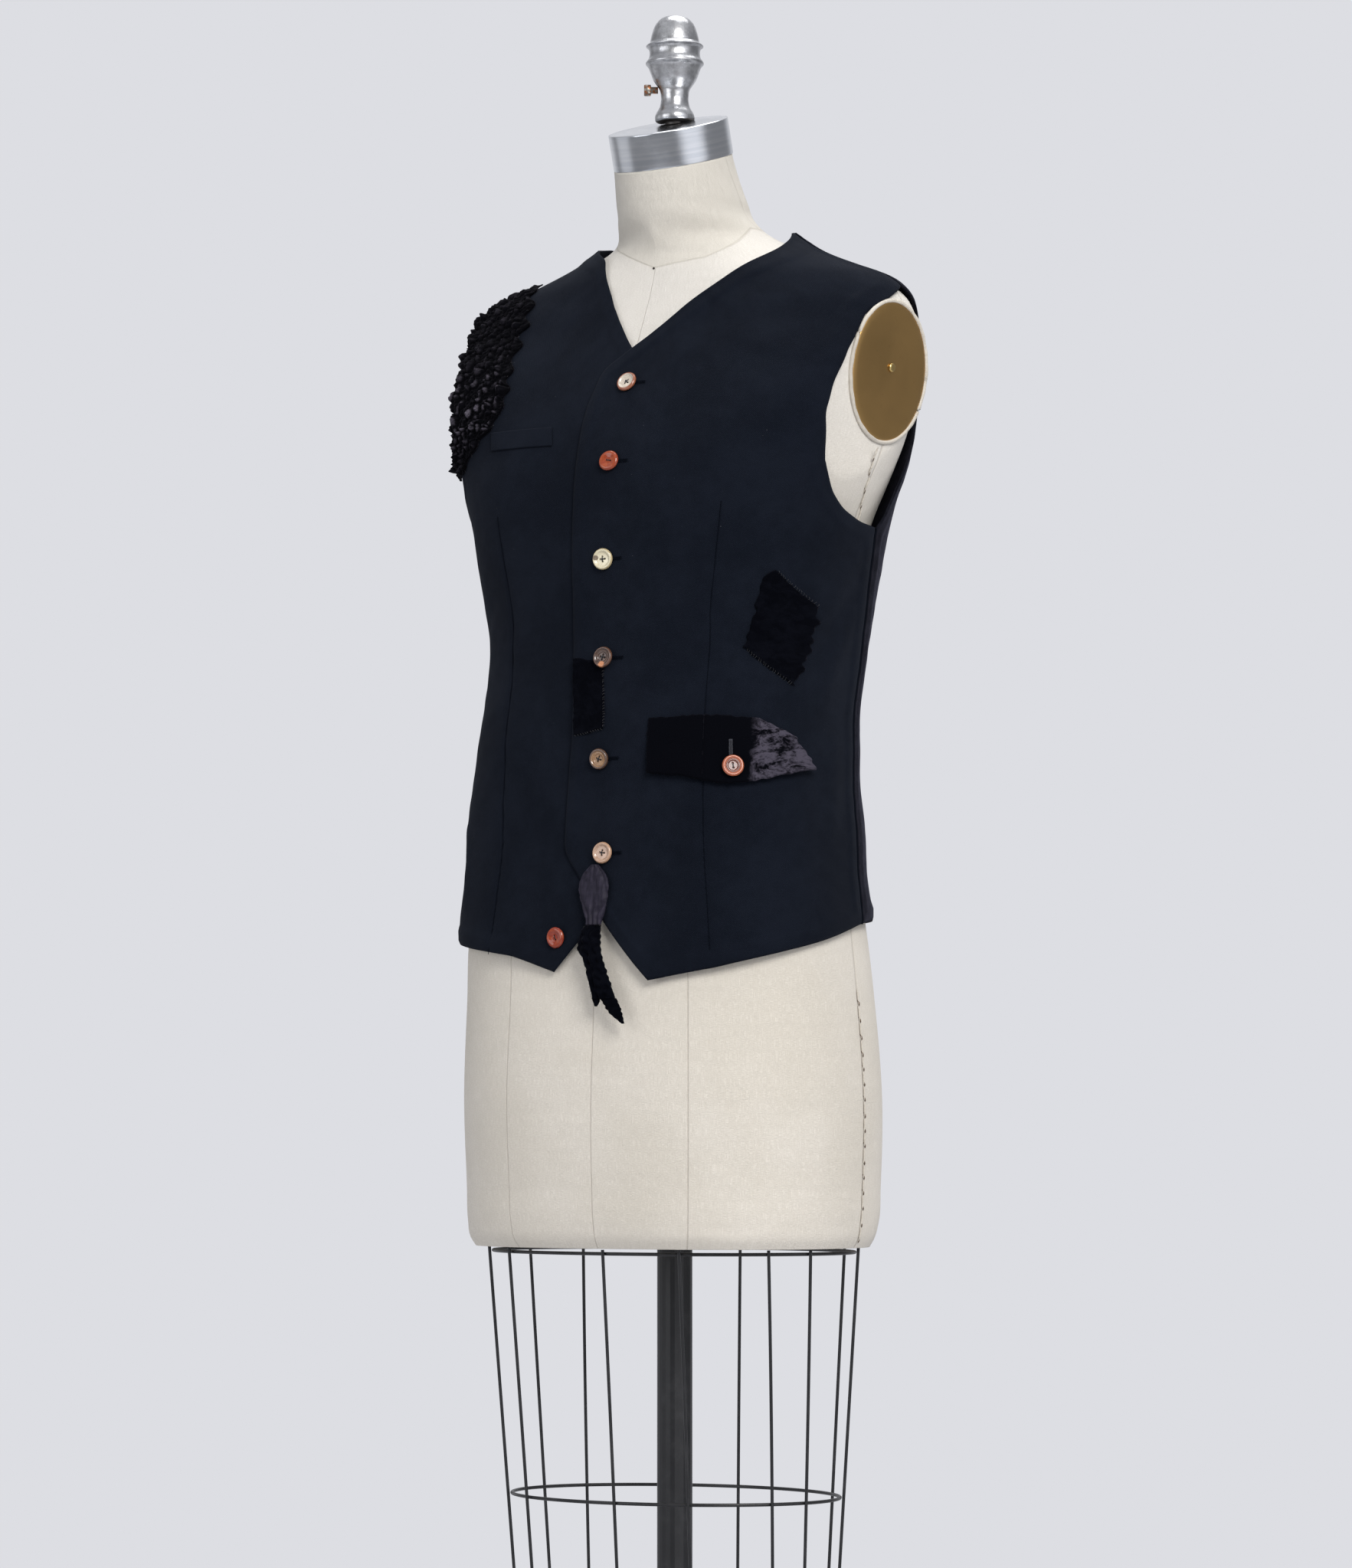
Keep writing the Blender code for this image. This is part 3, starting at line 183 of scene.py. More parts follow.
def ripple(u, v, wavelength, seed, waves=7):
    """A soft random relief of about -1 to 1: a sum of sines that run in random directions."""
    source = np.random.default_rng(seed)
    total = 0.0
    for _ in range(waves):
        way = source.uniform(0, np.pi)
        length = wavelength * source.uniform(0.7, 1.6)
        phase = source.uniform(0, 2 * np.pi)
        total = total + np.sin(2 * np.pi * (u * np.cos(way) + v * np.sin(way)) / length + phase)
    return total / math.sqrt(waves)


def line_distance(x, z, points):
    """How far (x, z) is from a chain of points."""
    away = np.full(np.shape(x), 1e9)
    for (x0, z0), (x1, z1) in zip(points[:-1], points[1:]):
        run = (x1 - x0, z1 - z0)
        along = np.clip(((x - x0) * run[0] + (z - z0) * run[1]) / (run[0] ** 2 + run[1] ** 2), 0, 1)
        away = np.minimum(away, np.hypot(x - x0 - along * run[0], z - z0 - along * run[1]))
    return away


def relief(angle, height):
    """The bust, the folds, the dart and a soft waviness, in metres over the rings."""
    turn = (angle + 180) % 360 - 180
    across = np.radians(np.abs(turn) - BUST_ANGLE) * BODY_RADIUS
    raised = BUST_RISE * np.exp(-(across**2 + (height - BUST_HEIGHT) ** 2) / BUST_SPREAD**2)
    for side, angle_0, height_0, angle_1, height_1, depth, half_width in FOLDS:
        x = np.radians(side * turn - angle_0) * BODY_RADIUS
        z = height - height_0
        run = (math.radians(angle_1 - angle_0) * BODY_RADIUS, height_1 - height_0)
        along = np.clip((x * run[0] + z * run[1]) / (run[0] ** 2 + run[1] ** 2), 0, 1)
        away = np.hypot(x - along * run[0], z - along * run[1])
        raised = raised + depth * np.sin(np.pi * along) ** 0.7 * np.exp(-((away / half_width) ** 2))
    x = np.radians(np.abs(turn)) * BODY_RADIUS
    dart = [(math.radians(a) * BODY_RADIUS, z) for a, z in DART]
    fade = smooth_step((DART_TOP - height) / 0.06) * smooth_step((height - DART_FOOT) / 0.03)
    raised = raised - DART_DEPTH * fade * np.exp(-((line_distance(x, height, dart) / DART_WIDTH) ** 2))
    flat = np.radians(turn) * BODY_RADIUS
    loose = 0.35 + 0.65 * smooth_step((LOOSE_HEIGHT - height) / 0.10)
    raised = raised + 0.00050 * loose * ripple(flat, height, 0.070, 3)
    return raised + 0.00013 * ripple(flat, height, 0.022, 5)


def vest_point(angle, height, lift=0.0):
    """The waistcoat's outer face, moved by a lift along its normal (from finite differences)."""
    angle, height = np.broadcast_arrays(np.asarray(angle, float), np.asarray(height, float))
    step_angle, step_height = 0.05, 0.0002

    def place(a, h):
        base = ring_point(VEST_RINGS, a, h)
        out = np.stack([np.sin(np.radians(a)), -np.cos(np.radians(a)), np.zeros_like(a)], -1)
        return base + out * relief(a, h)[..., None]

    point = place(angle, height)
    along = place(angle + step_angle, height) - place(angle - step_angle, height)
    up = place(angle, height + step_height) - place(angle, height - step_height)
    normal = np.cross(along, up)
    normal /= np.linalg.norm(normal, axis=-1, keepdims=True)
    return point + normal * np.asarray(lift)[..., None]


SWEEP = np.linspace(0, 90, 181)


def angle_at(x, height):
    """The angle at which the front reaches an x at a height, by a table look-up."""
    reach = vest_point(SWEEP, np.full_like(SWEEP, height))[:, 0]
    return math.copysign(np.interp(abs(x), reach, SWEEP), x)


def lap_lift(x, side):
    """The left front rides over the right one where they lap."""
    return LAP_LIFT * smooth_step((0.062 - x) / 0.030) if side > 0 else 0 * x


# ---- Shader maths
# A material is a Principled shader, and its patterns are worked out by nodes on the piece's
# own coordinates in metres. A Value stands for a socket and takes part in plain arithmetic.
class Value:
    """A shader value. Arithmetic with numbers and other values adds Math nodes."""

    def __init__(self, tree, socket):
        self.tree, self.socket = tree, socket

    def math(self, operation, *operands, clamp=False):
        """A Math node on its operands alone."""
        node = self.tree.nodes.new("ShaderNodeMath")
        node.operation = operation
        node.use_clamp = clamp
        for entry, operand in zip(node.inputs, operands):
            connect(self.tree, operand, entry)
        return Value(self.tree, node.outputs[0])

    def __add__(self, other):
        return self.math("ADD", self, other)

    __radd__ = __add__

    def __mul__(self, other):
        return self.math("MULTIPLY", self, other)

    __rmul__ = __mul__

    def __sub__(self, other):
        return self.math("SUBTRACT", self, other)

    def __rsub__(self, other):
        return self.math("SUBTRACT", other, self)

    def __truediv__(self, other):
        return self.math("DIVIDE", self, other)

    def __pow__(self, other):
        return self.math("POWER", self, other)

    def size(self):
        """The value without its sign."""
        return self.math("ABSOLUTE", self)

    def larger(self, other):
        """The larger of two values."""
        return self.math("MAXIMUM", self, other)

    def step(self, low, high):
        """0 below low and 1 above high, and smooth between them."""
        s = self.math("ADD", (self - low) / (high - low), 0.0, clamp=True)
        return s * s * (3.0 - 2.0 * s)


def connect(tree, value, entry):
    """Link a Value, or set a number or colour, on an input."""
    if isinstance(value, Value):
        tree.links.new(value.socket, entry)
    elif isinstance(value, tuple) and len(value) == 3 and entry.type == "RGBA":
        entry.default_value = (*value, 1)
    else:
        entry.default_value = value


class Look:
    """A Principled material under construction."""

    def __init__(self, name, **constants):
        self.material = bpy.data.materials.new(name)
        self.material.use_nodes = True
        self.tree = self.material.node_tree
        self.shader = self.tree.nodes["Principled BSDF"]
        self.set(**constants)

    def set(self, **inputs):
        """Inputs of the shader, with underscores for the spaces in their names."""
        for name, value in inputs.items():
            connect(self.tree, value, self.shader.inputs[name.replace("_", " ")])

    def node(self, kind, output=0, links=None, **settings):
        """Any other node, its settings by attribute and its inputs by name."""
        node = self.tree.nodes.new(kind)
        for name, value in settings.items():
            setattr(node, name, value)
        for name, value in (links or {}).items():
            connect(self.tree, value, node.inputs[name])
        return Value(self.tree, node.outputs[output])

    def place(self):
        """Object coordinates in metres."""
        return self.node("ShaderNodeTexCoord", "Object")

    def stretched(self, coords, stretch):
        """Coordinates multiplied axis by axis."""
        return self.node("ShaderNodeVectorMath", 0, {0: coords, 1: stretch}, operation="MULTIPLY")

    def uv(self):
        """Distances on the flat cloth in metres: u across and v up."""
        coords = self.node("ShaderNodeUVMap", 0, uv_map="flat")
        u = self.node("ShaderNodeSeparateXYZ", 0, {0: coords})
        v = self.node("ShaderNodeSeparateXYZ", 1, {0: coords})
        return coords, u, v

    def noise(self, scale, where=None, detail=2.0, rough=0.5, bend=0.0):
        """Noise with scale waves to the metre."""
        links = {"Vector": where or self.place(), "Scale": scale, "Detail": detail}
        links.update({"Roughness": rough, "Distortion": bend})
        return self.node("ShaderNodeTexNoise", 0, links)

    def cells(self, scale, where=None):
        """The distance from the nearest of many scattered points."""
        links = {"Vector": where or self.place(), "Scale": scale}
        return self.node("ShaderNodeTexVoronoi", "Distance", links)

    def mix(self, share, first, second, blend="MIX"):
        """A colour between two, by a share."""
        node = self.tree.nodes.new("ShaderNodeMix")
        node.data_type = "RGBA"
        node.blend_type = blend
        connect(self.tree, share, node.inputs[0])
        connect(self.tree, first, node.inputs[6])
        connect(self.tree, second, node.inputs[7])
        return Value(self.tree, node.outputs[2])

    def bump(self, height, depth, strength=1.0):
        """Relief whose height of 1 is depth metres."""
        links = {"Height": height, "Distance": depth, "Strength": strength}
        self.set(Normal=self.node("ShaderNodeBump", 0, links))


def wool_look():
    """Napped navy twill: fine diagonal ribs nearly lost in the nap, with pale lint on it."""
    look = Look("wool", Roughness=0.95, Sheen_Weight=0.035, Sheen_Roughness=0.45,
                Sheen_Tint=(0.45, 0.50, 0.65, 1), Specular_IOR_Level=0.10)
    flat, u, v = look.uv()
    rib = look.node("ShaderNodeMath", 0, {0: (u + v * 0.8) * 5200.0}, operation="SINE")
    nap = look.noise(1500.0, flat, 5.0, 0.70)
    cloud = look.noise(16.0, flat, 3.0, 0.55)
    worn = look.noise(90.0, flat, 3.0, 0.6)
    shade = cloud * 0.7 + worn * 0.3
    base = look.mix(shade.step(0.36, 0.66), (0.0022, 0.0036, 0.0076), (0.0046, 0.0066, 0.0122))
    fibre = look.mix((nap * 0.8 + rib * 0.06).step(0.40, 0.66) * 0.85, base, (0.0120, 0.0165, 0.0270))
    lint = look.cells(230.0, flat)
    sparse = look.noise(52.0, flat, 1.0)
    speck = (1.0 - lint.step(0.03, 0.075)) * sparse.step(0.66, 0.72)
    look.set(Base_Color=look.mix(speck * 0.55, fibre, (0.13, 0.13, 0.14)))
    look.bump(nap * 0.9 + rib * 0.15 + worn * 0.8, 0.00040, 0.9)
    return look.material


def velvet_look(name, worn):
    """Cotton velvet: near black, a dull bloom, and painted sheen in crush streaks and on the pile, stronger
    where worn is 1.
    """
    look = Look(name, Roughness=0.95, Sheen_Weight=0.04 + 0.10 * worn, Sheen_Roughness=0.35,
                Sheen_Tint=(0.42, 0.42, 0.58, 1), Specular_IOR_Level=0.03)
    flat, _, _ = look.uv()
    pile = look.noise(3800.0, flat, 3.0, 0.7)
    brushed = look.noise(150.0, flat, 4.0, 0.6, 0.6)
    patchy = look.noise(28.0, flat, 3.0, 0.55)
    lie = brushed * 0.6 + patchy * 0.4
    # Painted sheen: the raised colour and the tip colour stand for light off the lie of the pile, and the
    # worn share brightens them for worn velvet.
    hollow = (0.0008 + 0.0022 * worn, 0.0010 + 0.0022 * worn, 0.0022 + 0.0030 * worn)
    raised = (0.0022 + 0.0070 * worn, 0.0026 + 0.0070 * worn, 0.0048 + 0.0095 * worn)
    sheen_tips = (0.012 + 0.020 * worn, 0.012 + 0.019 * worn, 0.018 + 0.028 * worn)
    deep = look.mix(lie.step(0.40, 0.66), hollow, raised)
    look.set(Base_Color=look.mix(pile.step(0.55, 0.85) * (0.35 + 0.2 * worn), deep, sheen_tips))
    look.bump(pile * 0.7 + brushed * 0.8, 0.00035, 0.8)
    return look.material


WOOL_LOOK = wool_look()
# The worn share sets each velvet's painted sheen: little on the patches and tie, most on the worn back.
VELVET_LOOK = velvet_look("velvet", 0.0)
BACK_LOOK = velvet_look("back_velvet", 1.0)

# ---- Wool fronts
# Two fronts of one wool wall each, cut by the edges below: rows of x or angle and height,
# with the number of steps that lead to them. The edges are softened, and the walls roll over.
ARMHOLE_FRONT = (
    (90.0, 1.3760, 0),
    (74.5, 1.3500, 3),
    (67.5, 1.3200, 2),
    (63.8, 1.2940, 2),
    (62.9, 1.2700, 2),
    (65.8, 1.2351, 2),
)
ARMHOLE_FOOT = ((69.1, 1.2143, 1), (74.6, 1.2015, 1), (83.0, 1.1945, 1), (92.0, 1.1925, 1))
LEFT_NECKLINE = (
    (0.0800, 1.4270, 0),
    (0.0741, 1.3933, 3),
    (0.0424, 1.3657, 2),
    (0.0000, 1.3275, 3),
    (-0.0190, 1.3120, 1),
    (-0.0243, 1.2800, 2),
)
RIGHT_NECKLINE = (
    (0.0800, 1.4270, 0),
    (0.0700, 1.4205, 2),
    (0.0500, 1.4080, 2),
    (0.0370, 1.3820, 2),
    (0.0000, 1.3290, 2),
    (-0.0170, 1.3140, 1),
    (-0.0220, 1.2800, 2),
)
LEFT_FRONT_EDGE = (
    (-0.0243, 1.2800, 0),
    (-0.0240, 1.2000, 3),
    (-0.0214, 1.0913, 4),
    (-0.0200, 1.0338, 2),
    (-0.0278, 0.9488, 3),
    (0.0123, 0.8916, 3),
    (0.0482, 0.8511, 2),
)
RIGHT_FRONT_EDGE = (
    (-0.0220, 1.2800, 0),
    (-0.0220, 1.2000, 3),
    (-0.0220, 1.0913, 4),
    (-0.0220, 1.0338, 2),
    (-0.0250, 0.9520, 3),
    (0.0034, 0.8908, 3),
    (0.0329, 0.8585, 2),
)
LEFT_HEM = ((21.5, 0.8511, 0), (41.2, 0.8601, 4), (70.0, 0.8790, 6), (92.0, 0.8950, 4))
RIGHT_HEM = ((15.0, 0.8585, 0), (30.9, 0.8711, 4), (66.0, 0.8850, 6), (92.0, 0.8900, 4))
SHOULDER = ((90.0, 1.4270, 0), (90.0, 1.3760, 10))
CHEST_STEPS = 10
SIDE_STEPS = 17
FINE = 8
# Fronts and back meet at these angles, and stop short of them by SEAM_DEGREES.
SHOULDER_ANGLE = 90.0
SIDE_ANGLE = 92.0
SEAM_DEGREES = 0.06


def blurred(points, reach):
    """Columns averaged over reach rows to each side, with both ends kept in place."""
    window = np.hanning(2 * reach + 3)[1:-1]
    window /= window.sum()
    padded = np.pad(points, ((reach, reach), (0, 0)), mode="reflect", reflect_type="odd")
    return np.stack([np.convolve(column, window, "valid") for column in padded.T], -1)


def trace_edge(rows, fine=FINE, blur=0.6):
    """An edge whose steps are each cut in fine parts, its corners rounded over blur steps."""
    points = [np.array(rows[0][:2], float)]
    for *point, steps in rows[1:]:
        start = points[-1]
        count = steps * fine
        points.extend(start + (np.array(point) - start) * k / count for k in range(1, count + 1))
    points = np.array(points)
    return blurred(points, int(blur * fine)) if len(rows) > 2 else points


def front_edge(rows):
    """A centre edge, with its x turned into angles."""
    return trace_edge([(angle_at(x, height), height, steps) for x, height, steps in rows])


def coons(top, foot, start, end):
    """P(s, t) = (1-t) top + t foot + (1-s) start + s end - the bilinear blend of the corners."""
    s = np.linspace(0, 1, len(top))[None, :, None]
    t = np.linspace(0, 1, len(start))[:, None, None]
    across = (1 - t) * top[None] + t * foot[None]
    down = (1 - s) * start[:, None] + s * end[:, None]
    corners = (1 - s) * (1 - t) * top[0] + s * (1 - t) * top[-1]
    corners = corners + (1 - s) * t * foot[0] + s * t * foot[-1]
    return across + down - corners


def join_grids(grids):
    """Points and quads of grids that share border points exactly."""
    points = np.concatenate([grid.reshape(-1, 2) for grid in grids])
    _, first, place = np.unique(np.round(points, 5), axis=0, return_index=True, return_inverse=True)
    quads = []
    start = 0
    for grid in grids:
        ids = place.ravel()[start : start + grid[..., 0].size].reshape(grid.shape[:2])
        start += ids.size
        quads.append(cell_quads(ids))
    return points[first], np.concatenate(quads)


def cell_quads(ids):
    """The quads between the points of a grid of ids."""
    return np.stack([ids[:-1, :-1], ids[1:, :-1], ids[1:, 1:], ids[:-1, 1:]], -1).reshape(-1, 4)


def border_edges(quads):
    """The directed edges that only one quad uses."""
    pairs = np.concatenate([quads[:, [k, (k + 1) % 4]] for k in range(4)])
    keys = pairs[:, 0] * (quads.max() + 1) + pairs[:, 1]
    back = pairs[:, 1] * (quads.max() + 1) + pairs[:, 0]
    return pairs[~np.isin(keys, back)]


def edge_distance(flat, quads):
    """How far each point of the flat cloth is from the cloth's own edge."""
    rim = np.unique(border_edges(quads))
    away = np.empty(len(flat))
    for start in range(0, len(flat), 4000):
        part = flat[start : start + 4000]
        away[start : start + 4000] = np.sqrt(((part[:, None] - flat[rim][None]) ** 2).sum(-1)).min(1)
    return away


def mesh_piece(name, points, faces, look, flat):
    """An object that rides on the body; flat gives each point's place on the flat cloth."""
    mesh = bpy.data.meshes.new(name)
    mesh.from_pydata(points.tolist(), [], faces)
    layer = mesh.uv_layers.new(name="flat")
    corner = np.empty(len(mesh.loops), int)
    mesh.loops.foreach_get("vertex_index", corner)
    layer.data.foreach_set("uv", np.asarray(flat, np.float32)[corner].ravel())
    mesh.polygons.foreach_set("use_smooth", np.ones(len(mesh.polygons), bool))
    mesh.materials.append(look)
    piece = bpy.data.objects.new(name, mesh)
    bpy.context.scene.collection.objects.link(piece)
    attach(piece, "root")
    return piece


def cloth_wall(name, outer, inner, quads, look, flat):
    """A closed wall of cloth: outer quads, turned inner quads and a rim."""
    count = len(outer)
    rim = border_edges(quads)
    sides = np.stack([rim[:, 1], rim[:, 0], rim[:, 0] + count, rim[:, 1] + count], -1)
    faces = np.concatenate([quads, quads[:, ::-1] + count, sides])
    points = np.concatenate([outer, inner])
    piece = mesh_piece(name, points, faces.tolist(), look, np.concatenate([flat, flat]))
    if signed_volume(points, faces) < 0:
        piece.data.flip_normals()
    return piece


def signed_volume(points, quads):
    """Sum over the faces of a . (b x c) / 6, for quads as two triangles each."""
    a, b, c, d = (points[quads[:, k]] for k in range(4))
    return (np.einsum("ij,ij->i", a, np.cross(b, c)) + np.einsum("ij,ij->i", a, np.cross(c, d))).sum() / 6


def roll(away, radius):
    """The drop of a rounded edge: r - sqrt(r^2 - (r - d)^2) within r of the edge."""
    near = np.clip(radius - away, 0, radius)
    return radius - np.sqrt(np.maximum(radius**2 - near**2, 0))


TURNING = 0.009
TURNING_RISE = 0.0005


def panel(name, angle, height, quads, lift, thickness, look):
    """A cloth panel on the body: a rolled edge, and a faint ridge where its turned-in edge ends."""
    flat = np.stack([np.radians(angle) * BODY_RADIUS, height], -1)
    away = edge_distance(flat, quads)
    ridge = TURNING_RISE * np.exp(-(((away - TURNING) / 0.0035) ** 2))
    ridge = ridge - TURNING_RISE * smooth_step((away - TURNING - 0.001) / 0.004)
    shape = lift + ridge - roll(away, thickness * 0.5)
    inside = lift - thickness + roll(away, thickness * 0.5) * 0.9
    outer = vest_point(angle, height, shape)
    inner = vest_point(angle, height, inside)
    return cloth_wall(name, outer, inner, quads, look, flat)


def make_front(name, neckline, edge, hem, side):
    """One front, from a piece down to the chest line and a piece below it."""
    armhole = trace_edge(ARMHOLE_FRONT)
    shoulder = trace_edge(SHOULDER)
    neck = front_edge(neckline)
    neck[0] = shoulder[0]
    chest = trace_edge(((*neck[-1], 0), (*armhole[-1], CHEST_STEPS)))
    upper = coons(shoulder, chest, neck, armhole)
    foot = trace_edge(((*armhole[-1], 0), *ARMHOLE_FOOT))
    opening = front_edge(edge)
    hem = trace_edge(((*opening[-1], 0), *hem[1:]))
    seam = trace_edge(((*foot[-1], 0), (*hem[-1], SIDE_STEPS)))
    lower = coons(np.concatenate([chest, foot[1:]]), hem, opening, seam)
    lower[0, : len(chest)] = upper[-1]
    points, quads = join_grids((upper, lower))
    angle, height = points[:, 0].copy(), points[:, 1]
    angle[(np.abs(angle - SHOULDER_ANGLE) < 1e-6) & (height > 1.3)] -= SEAM_DEGREES
    angle[(np.abs(angle - SIDE_ANGLE) < 1e-6) & (height < 1.2)] -= SEAM_DEGREES
    angle = side * angle
    lift = lap_lift(vest_point(angle, height)[..., 0], side)
    piece = panel(name, angle, height, quads, lift, WALL, WOOL_LOOK)
    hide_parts(name)
    return piece


front_left = make_front("front_left", LEFT_NECKLINE, LEFT_FRONT_EDGE, LEFT_HEM, 1)
front_right = make_front("front_right", RIGHT_NECKLINE, RIGHT_FRONT_EDGE, RIGHT_HEM, -1)


# ---- Velvet back
# One piece cut on the fold, in black velvet, seamed to the fronts at the shoulders and sides.
BACK_TOP = (
    (180.0, 1.4100, 0),
    (140.0, 1.4140, 3),
    (115.0, 1.4190, 2),
    (102.0, 1.4225, 1),
    (90.0, 1.4270, 1),
)
BACK_SHOULDER = ((90.0, 1.4270, 0), (90.0, 1.3760, 4))
ARMHOLE_BACK = (
    (90.0, 1.3760, 0),
    (100.0, 1.3660, 2),
    (107.0, 1.3450, 1),
    (109.5, 1.3200, 2),
    (108.5, 1.2920, 1),
    (106.0, 1.2680, 1),
    (102.5, 1.2400, 2),
)
ARMHOLE_BACK_FOOT = ((98.5, 1.2150, 1), (95.0, 1.2000, 1), (92.0, 1.1925, 1))
BACK_HEM = ((180.0, 0.8950, 0), (103.0, 0.8990, 11), (92.0, 0.8950, 3))
BACK_CHEST_STEPS = 11
BACK_CHEST_HEIGHT = 1.2500
BACK_SIDE_STEPS = 14


def make_back():
    """Both halves of the back, sharing the middle line."""
    armhole = trace_edge(ARMHOLE_BACK)
    top = np.concatenate([trace_edge(BACK_TOP), trace_edge(BACK_SHOULDER)[1:]])
    rows = (len(armhole) - 1) // FINE
    spine = trace_edge(((*top[0], 0), (180.0, BACK_CHEST_HEIGHT, rows)))
    chest = trace_edge(((*spine[-1], 0), (*armhole[-1], BACK_CHEST_STEPS)))
    upper = coons(top, chest, spine, armhole)
    foot = trace_edge(((*armhole[-1], 0), *ARMHOLE_BACK_FOOT))
    hem = trace_edge(BACK_HEM)
    middle = trace_edge(((*spine[-1], 0), (*hem[0], BACK_SIDE_STEPS)))
    seam = trace_edge(((*foot[-1], 0), (*hem[-1], BACK_SIDE_STEPS)))
    lower = coons(np.concatenate([chest, foot[1:]]), hem, middle, seam)
    lower[0, : len(chest)] = upper[-1]
    halves = []
    for grid in (upper, lower):
        mirrored = grid[:, ::-1].copy()
        mirrored[..., 0] = 360 - mirrored[..., 0]
        halves += [grid[:, ::-1], mirrored[:, ::-1]]
    points, quads = join_grids(halves)
    angle, height = points[:, 0].copy(), points[:, 1]
    for seam_angle in (SHOULDER_ANGLE, SIDE_ANGLE):
        angle[np.abs(angle - seam_angle) < 1e-6] += SEAM_DEGREES
        angle[np.abs(angle - 360 + seam_angle) < 1e-6] -= SEAM_DEGREES
    piece = panel("back_panel", angle, height, quads, np.zeros(len(angle)), VELVET, BACK_LOOK)
    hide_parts("back_panel")
    return piece


back_panel = make_back()

# ---- Patches, flap and welt
# Pieces laid on the fronts, each a thin wall of its own between four edges given by x, height
# and steps. The patches have raw, slightly wavering edges, and the flap lifts at its free corner.
TOP_GAP = 0.0003
PATCH_FINE = 7
PATCH_BLUR = 2.0


def angles_at(x, height):
    """angle_at for whole arrays: Newton steps on the x of vest_point."""
    angle = np.degrees(np.arcsin(np.clip(x / 0.17, -0.95, 0.95)))
    for _ in range(8):
        here = vest_point(angle, height)[..., 0]
        ahead = vest_point(angle + 0.2, height)[..., 0]
        angle = angle - np.clip((here - x) / np.maximum((ahead - here) / 0.2, 1e-4), -12, 12)
    return angle


def laid_grid(top, foot, start, end, waver=0.0, seed=1):
    """Angles and heights of a laid piece, with its border wavering by a few tenths of a millimetre."""
    grid = coons(*(trace_edge(rows, PATCH_FINE, PATCH_BLUR) for rows in (top, foot, start, end)))
    rows, columns = grid.shape[:2]
    j, i = np.meshgrid(np.linspace(-1, 1, columns), np.linspace(-1, 1, rows))
    for axis, near in ((0, np.abs(j) ** 8 * np.sign(j)), (1, np.abs(i) ** 8 * np.sign(i))):
        grid[..., axis] += waver * near * ripple(grid[..., 0], grid[..., 1], 0.006, seed + axis)
    return angles_at(grid[..., 0], grid[..., 1]), grid[..., 1], grid


def lay_piece(name, grid, thickness, look, side, puff=0.0):
    """The wall of a laid piece over the front it lies on, lifted further by a puff."""
    angle, height, place = grid
    quads = cell_quads(np.arange(angle.size).reshape(angle.shape))
    flat = place.reshape(-1, 2)
    away = edge_distance(flat, quads).reshape(angle.shape)
    base = lap_lift(vest_point(angle, height)[..., 0], side) + TOP_GAP + puff
    outer = vest_point(angle, height, base + thickness - roll(away, thickness * 0.6))
    inner = vest_point(angle, height, base)
    piece = cloth_wall(name, outer.reshape(-1, 3), inner.reshape(-1, 3), quads, look, flat)
    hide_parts(name)
    return piece


def sheen_velvet():
    """The flap's velvet: black on the wearer's right, and on the left crush marks in painted sheen as grey
    smears.
    """
    look = Look("flap_velvet", Roughness=0.92, Sheen_Weight=0.05, Sheen_Roughness=0.35,
                Sheen_Tint=(0.42, 0.42, 0.58, 1), Specular_IOR_Level=0.04)
    flat, u, v = look.uv()
    pile = look.noise(3600.0, flat, 3.0, 0.7)
    smear = look.noise(80.0, flat, 5.0, 0.65, 1.6)
    streak = look.noise(420.0, flat, 4.0, 0.7, 0.8)
    # Painted sheen: on the wearer's left the crush marks are painted as grey smears.
    right = (u + (smear - 0.5) * 0.010).step(0.1160, 0.1215)
    crushed_pile_sheen = right * (smear * 0.65 + streak * 0.35).step(0.42, 0.58)
    dark = look.mix(pile.step(0.5, 0.9) * 0.4, (0.0010, 0.0012, 0.0026), (0.0036, 0.0036, 0.0060))
    look.set(Base_Color=look.mix(crushed_pile_sheen, dark, (0.062, 0.056, 0.076)))
    look.bump(pile * 0.6 + smear * 0.6 + streak * 0.5, 0.0005, 0.9)
    return look.material


FLAP_LOOK = sheen_velvet()
DIAMOND = laid_grid(
    ((0.1265, 1.1536, 0), (0.1439, 1.1278, 8)),
    ((0.1072, 1.0958, 0), (0.1340, 1.0685, 8)),
    ((0.1265, 1.1536, 0), (0.1188, 1.1474, 2), (0.1145, 1.1276, 4), (0.1072, 1.0958, 6)),
    ((0.1439, 1.1278, 0), (0.1340, 1.0685, 12)),
    0.0006, 11,
)
diamond = lay_piece("diamond_patch", DIAMOND, 0.0013, VELVET_LOOK, 1)
PLACKET = laid_grid(
    ((-0.0208, 1.0919, 0), (0.0051, 1.0866, 6)),
    ((-0.0180, 1.0327, 0), (0.0079, 1.0373, 6)),
    ((-0.0208, 1.0919, 0), (-0.0180, 1.0327, 12)),
    ((0.0051, 1.0866, 0), (0.0079, 1.0373, 12)),
    0.0005, 21,
)
placket = lay_piece("placket_patch", PLACKET, 0.0012, VELVET_LOOK, 1)
WELT = laid_grid(
    ((-0.1120, 1.2698, 0), (-0.0523, 1.2689, 14)),
    ((-0.1090, 1.2550, 0), (-0.0490, 1.2540, 14)),
    ((-0.1120, 1.2698, 0), (-0.1090, 1.2550, 4)),
    ((-0.0523, 1.2689, 0), (-0.0490, 1.2540, 4)),
)
welt = lay_piece("chest_welt", WELT, 0.0006, WOOL_LOOK, -1)
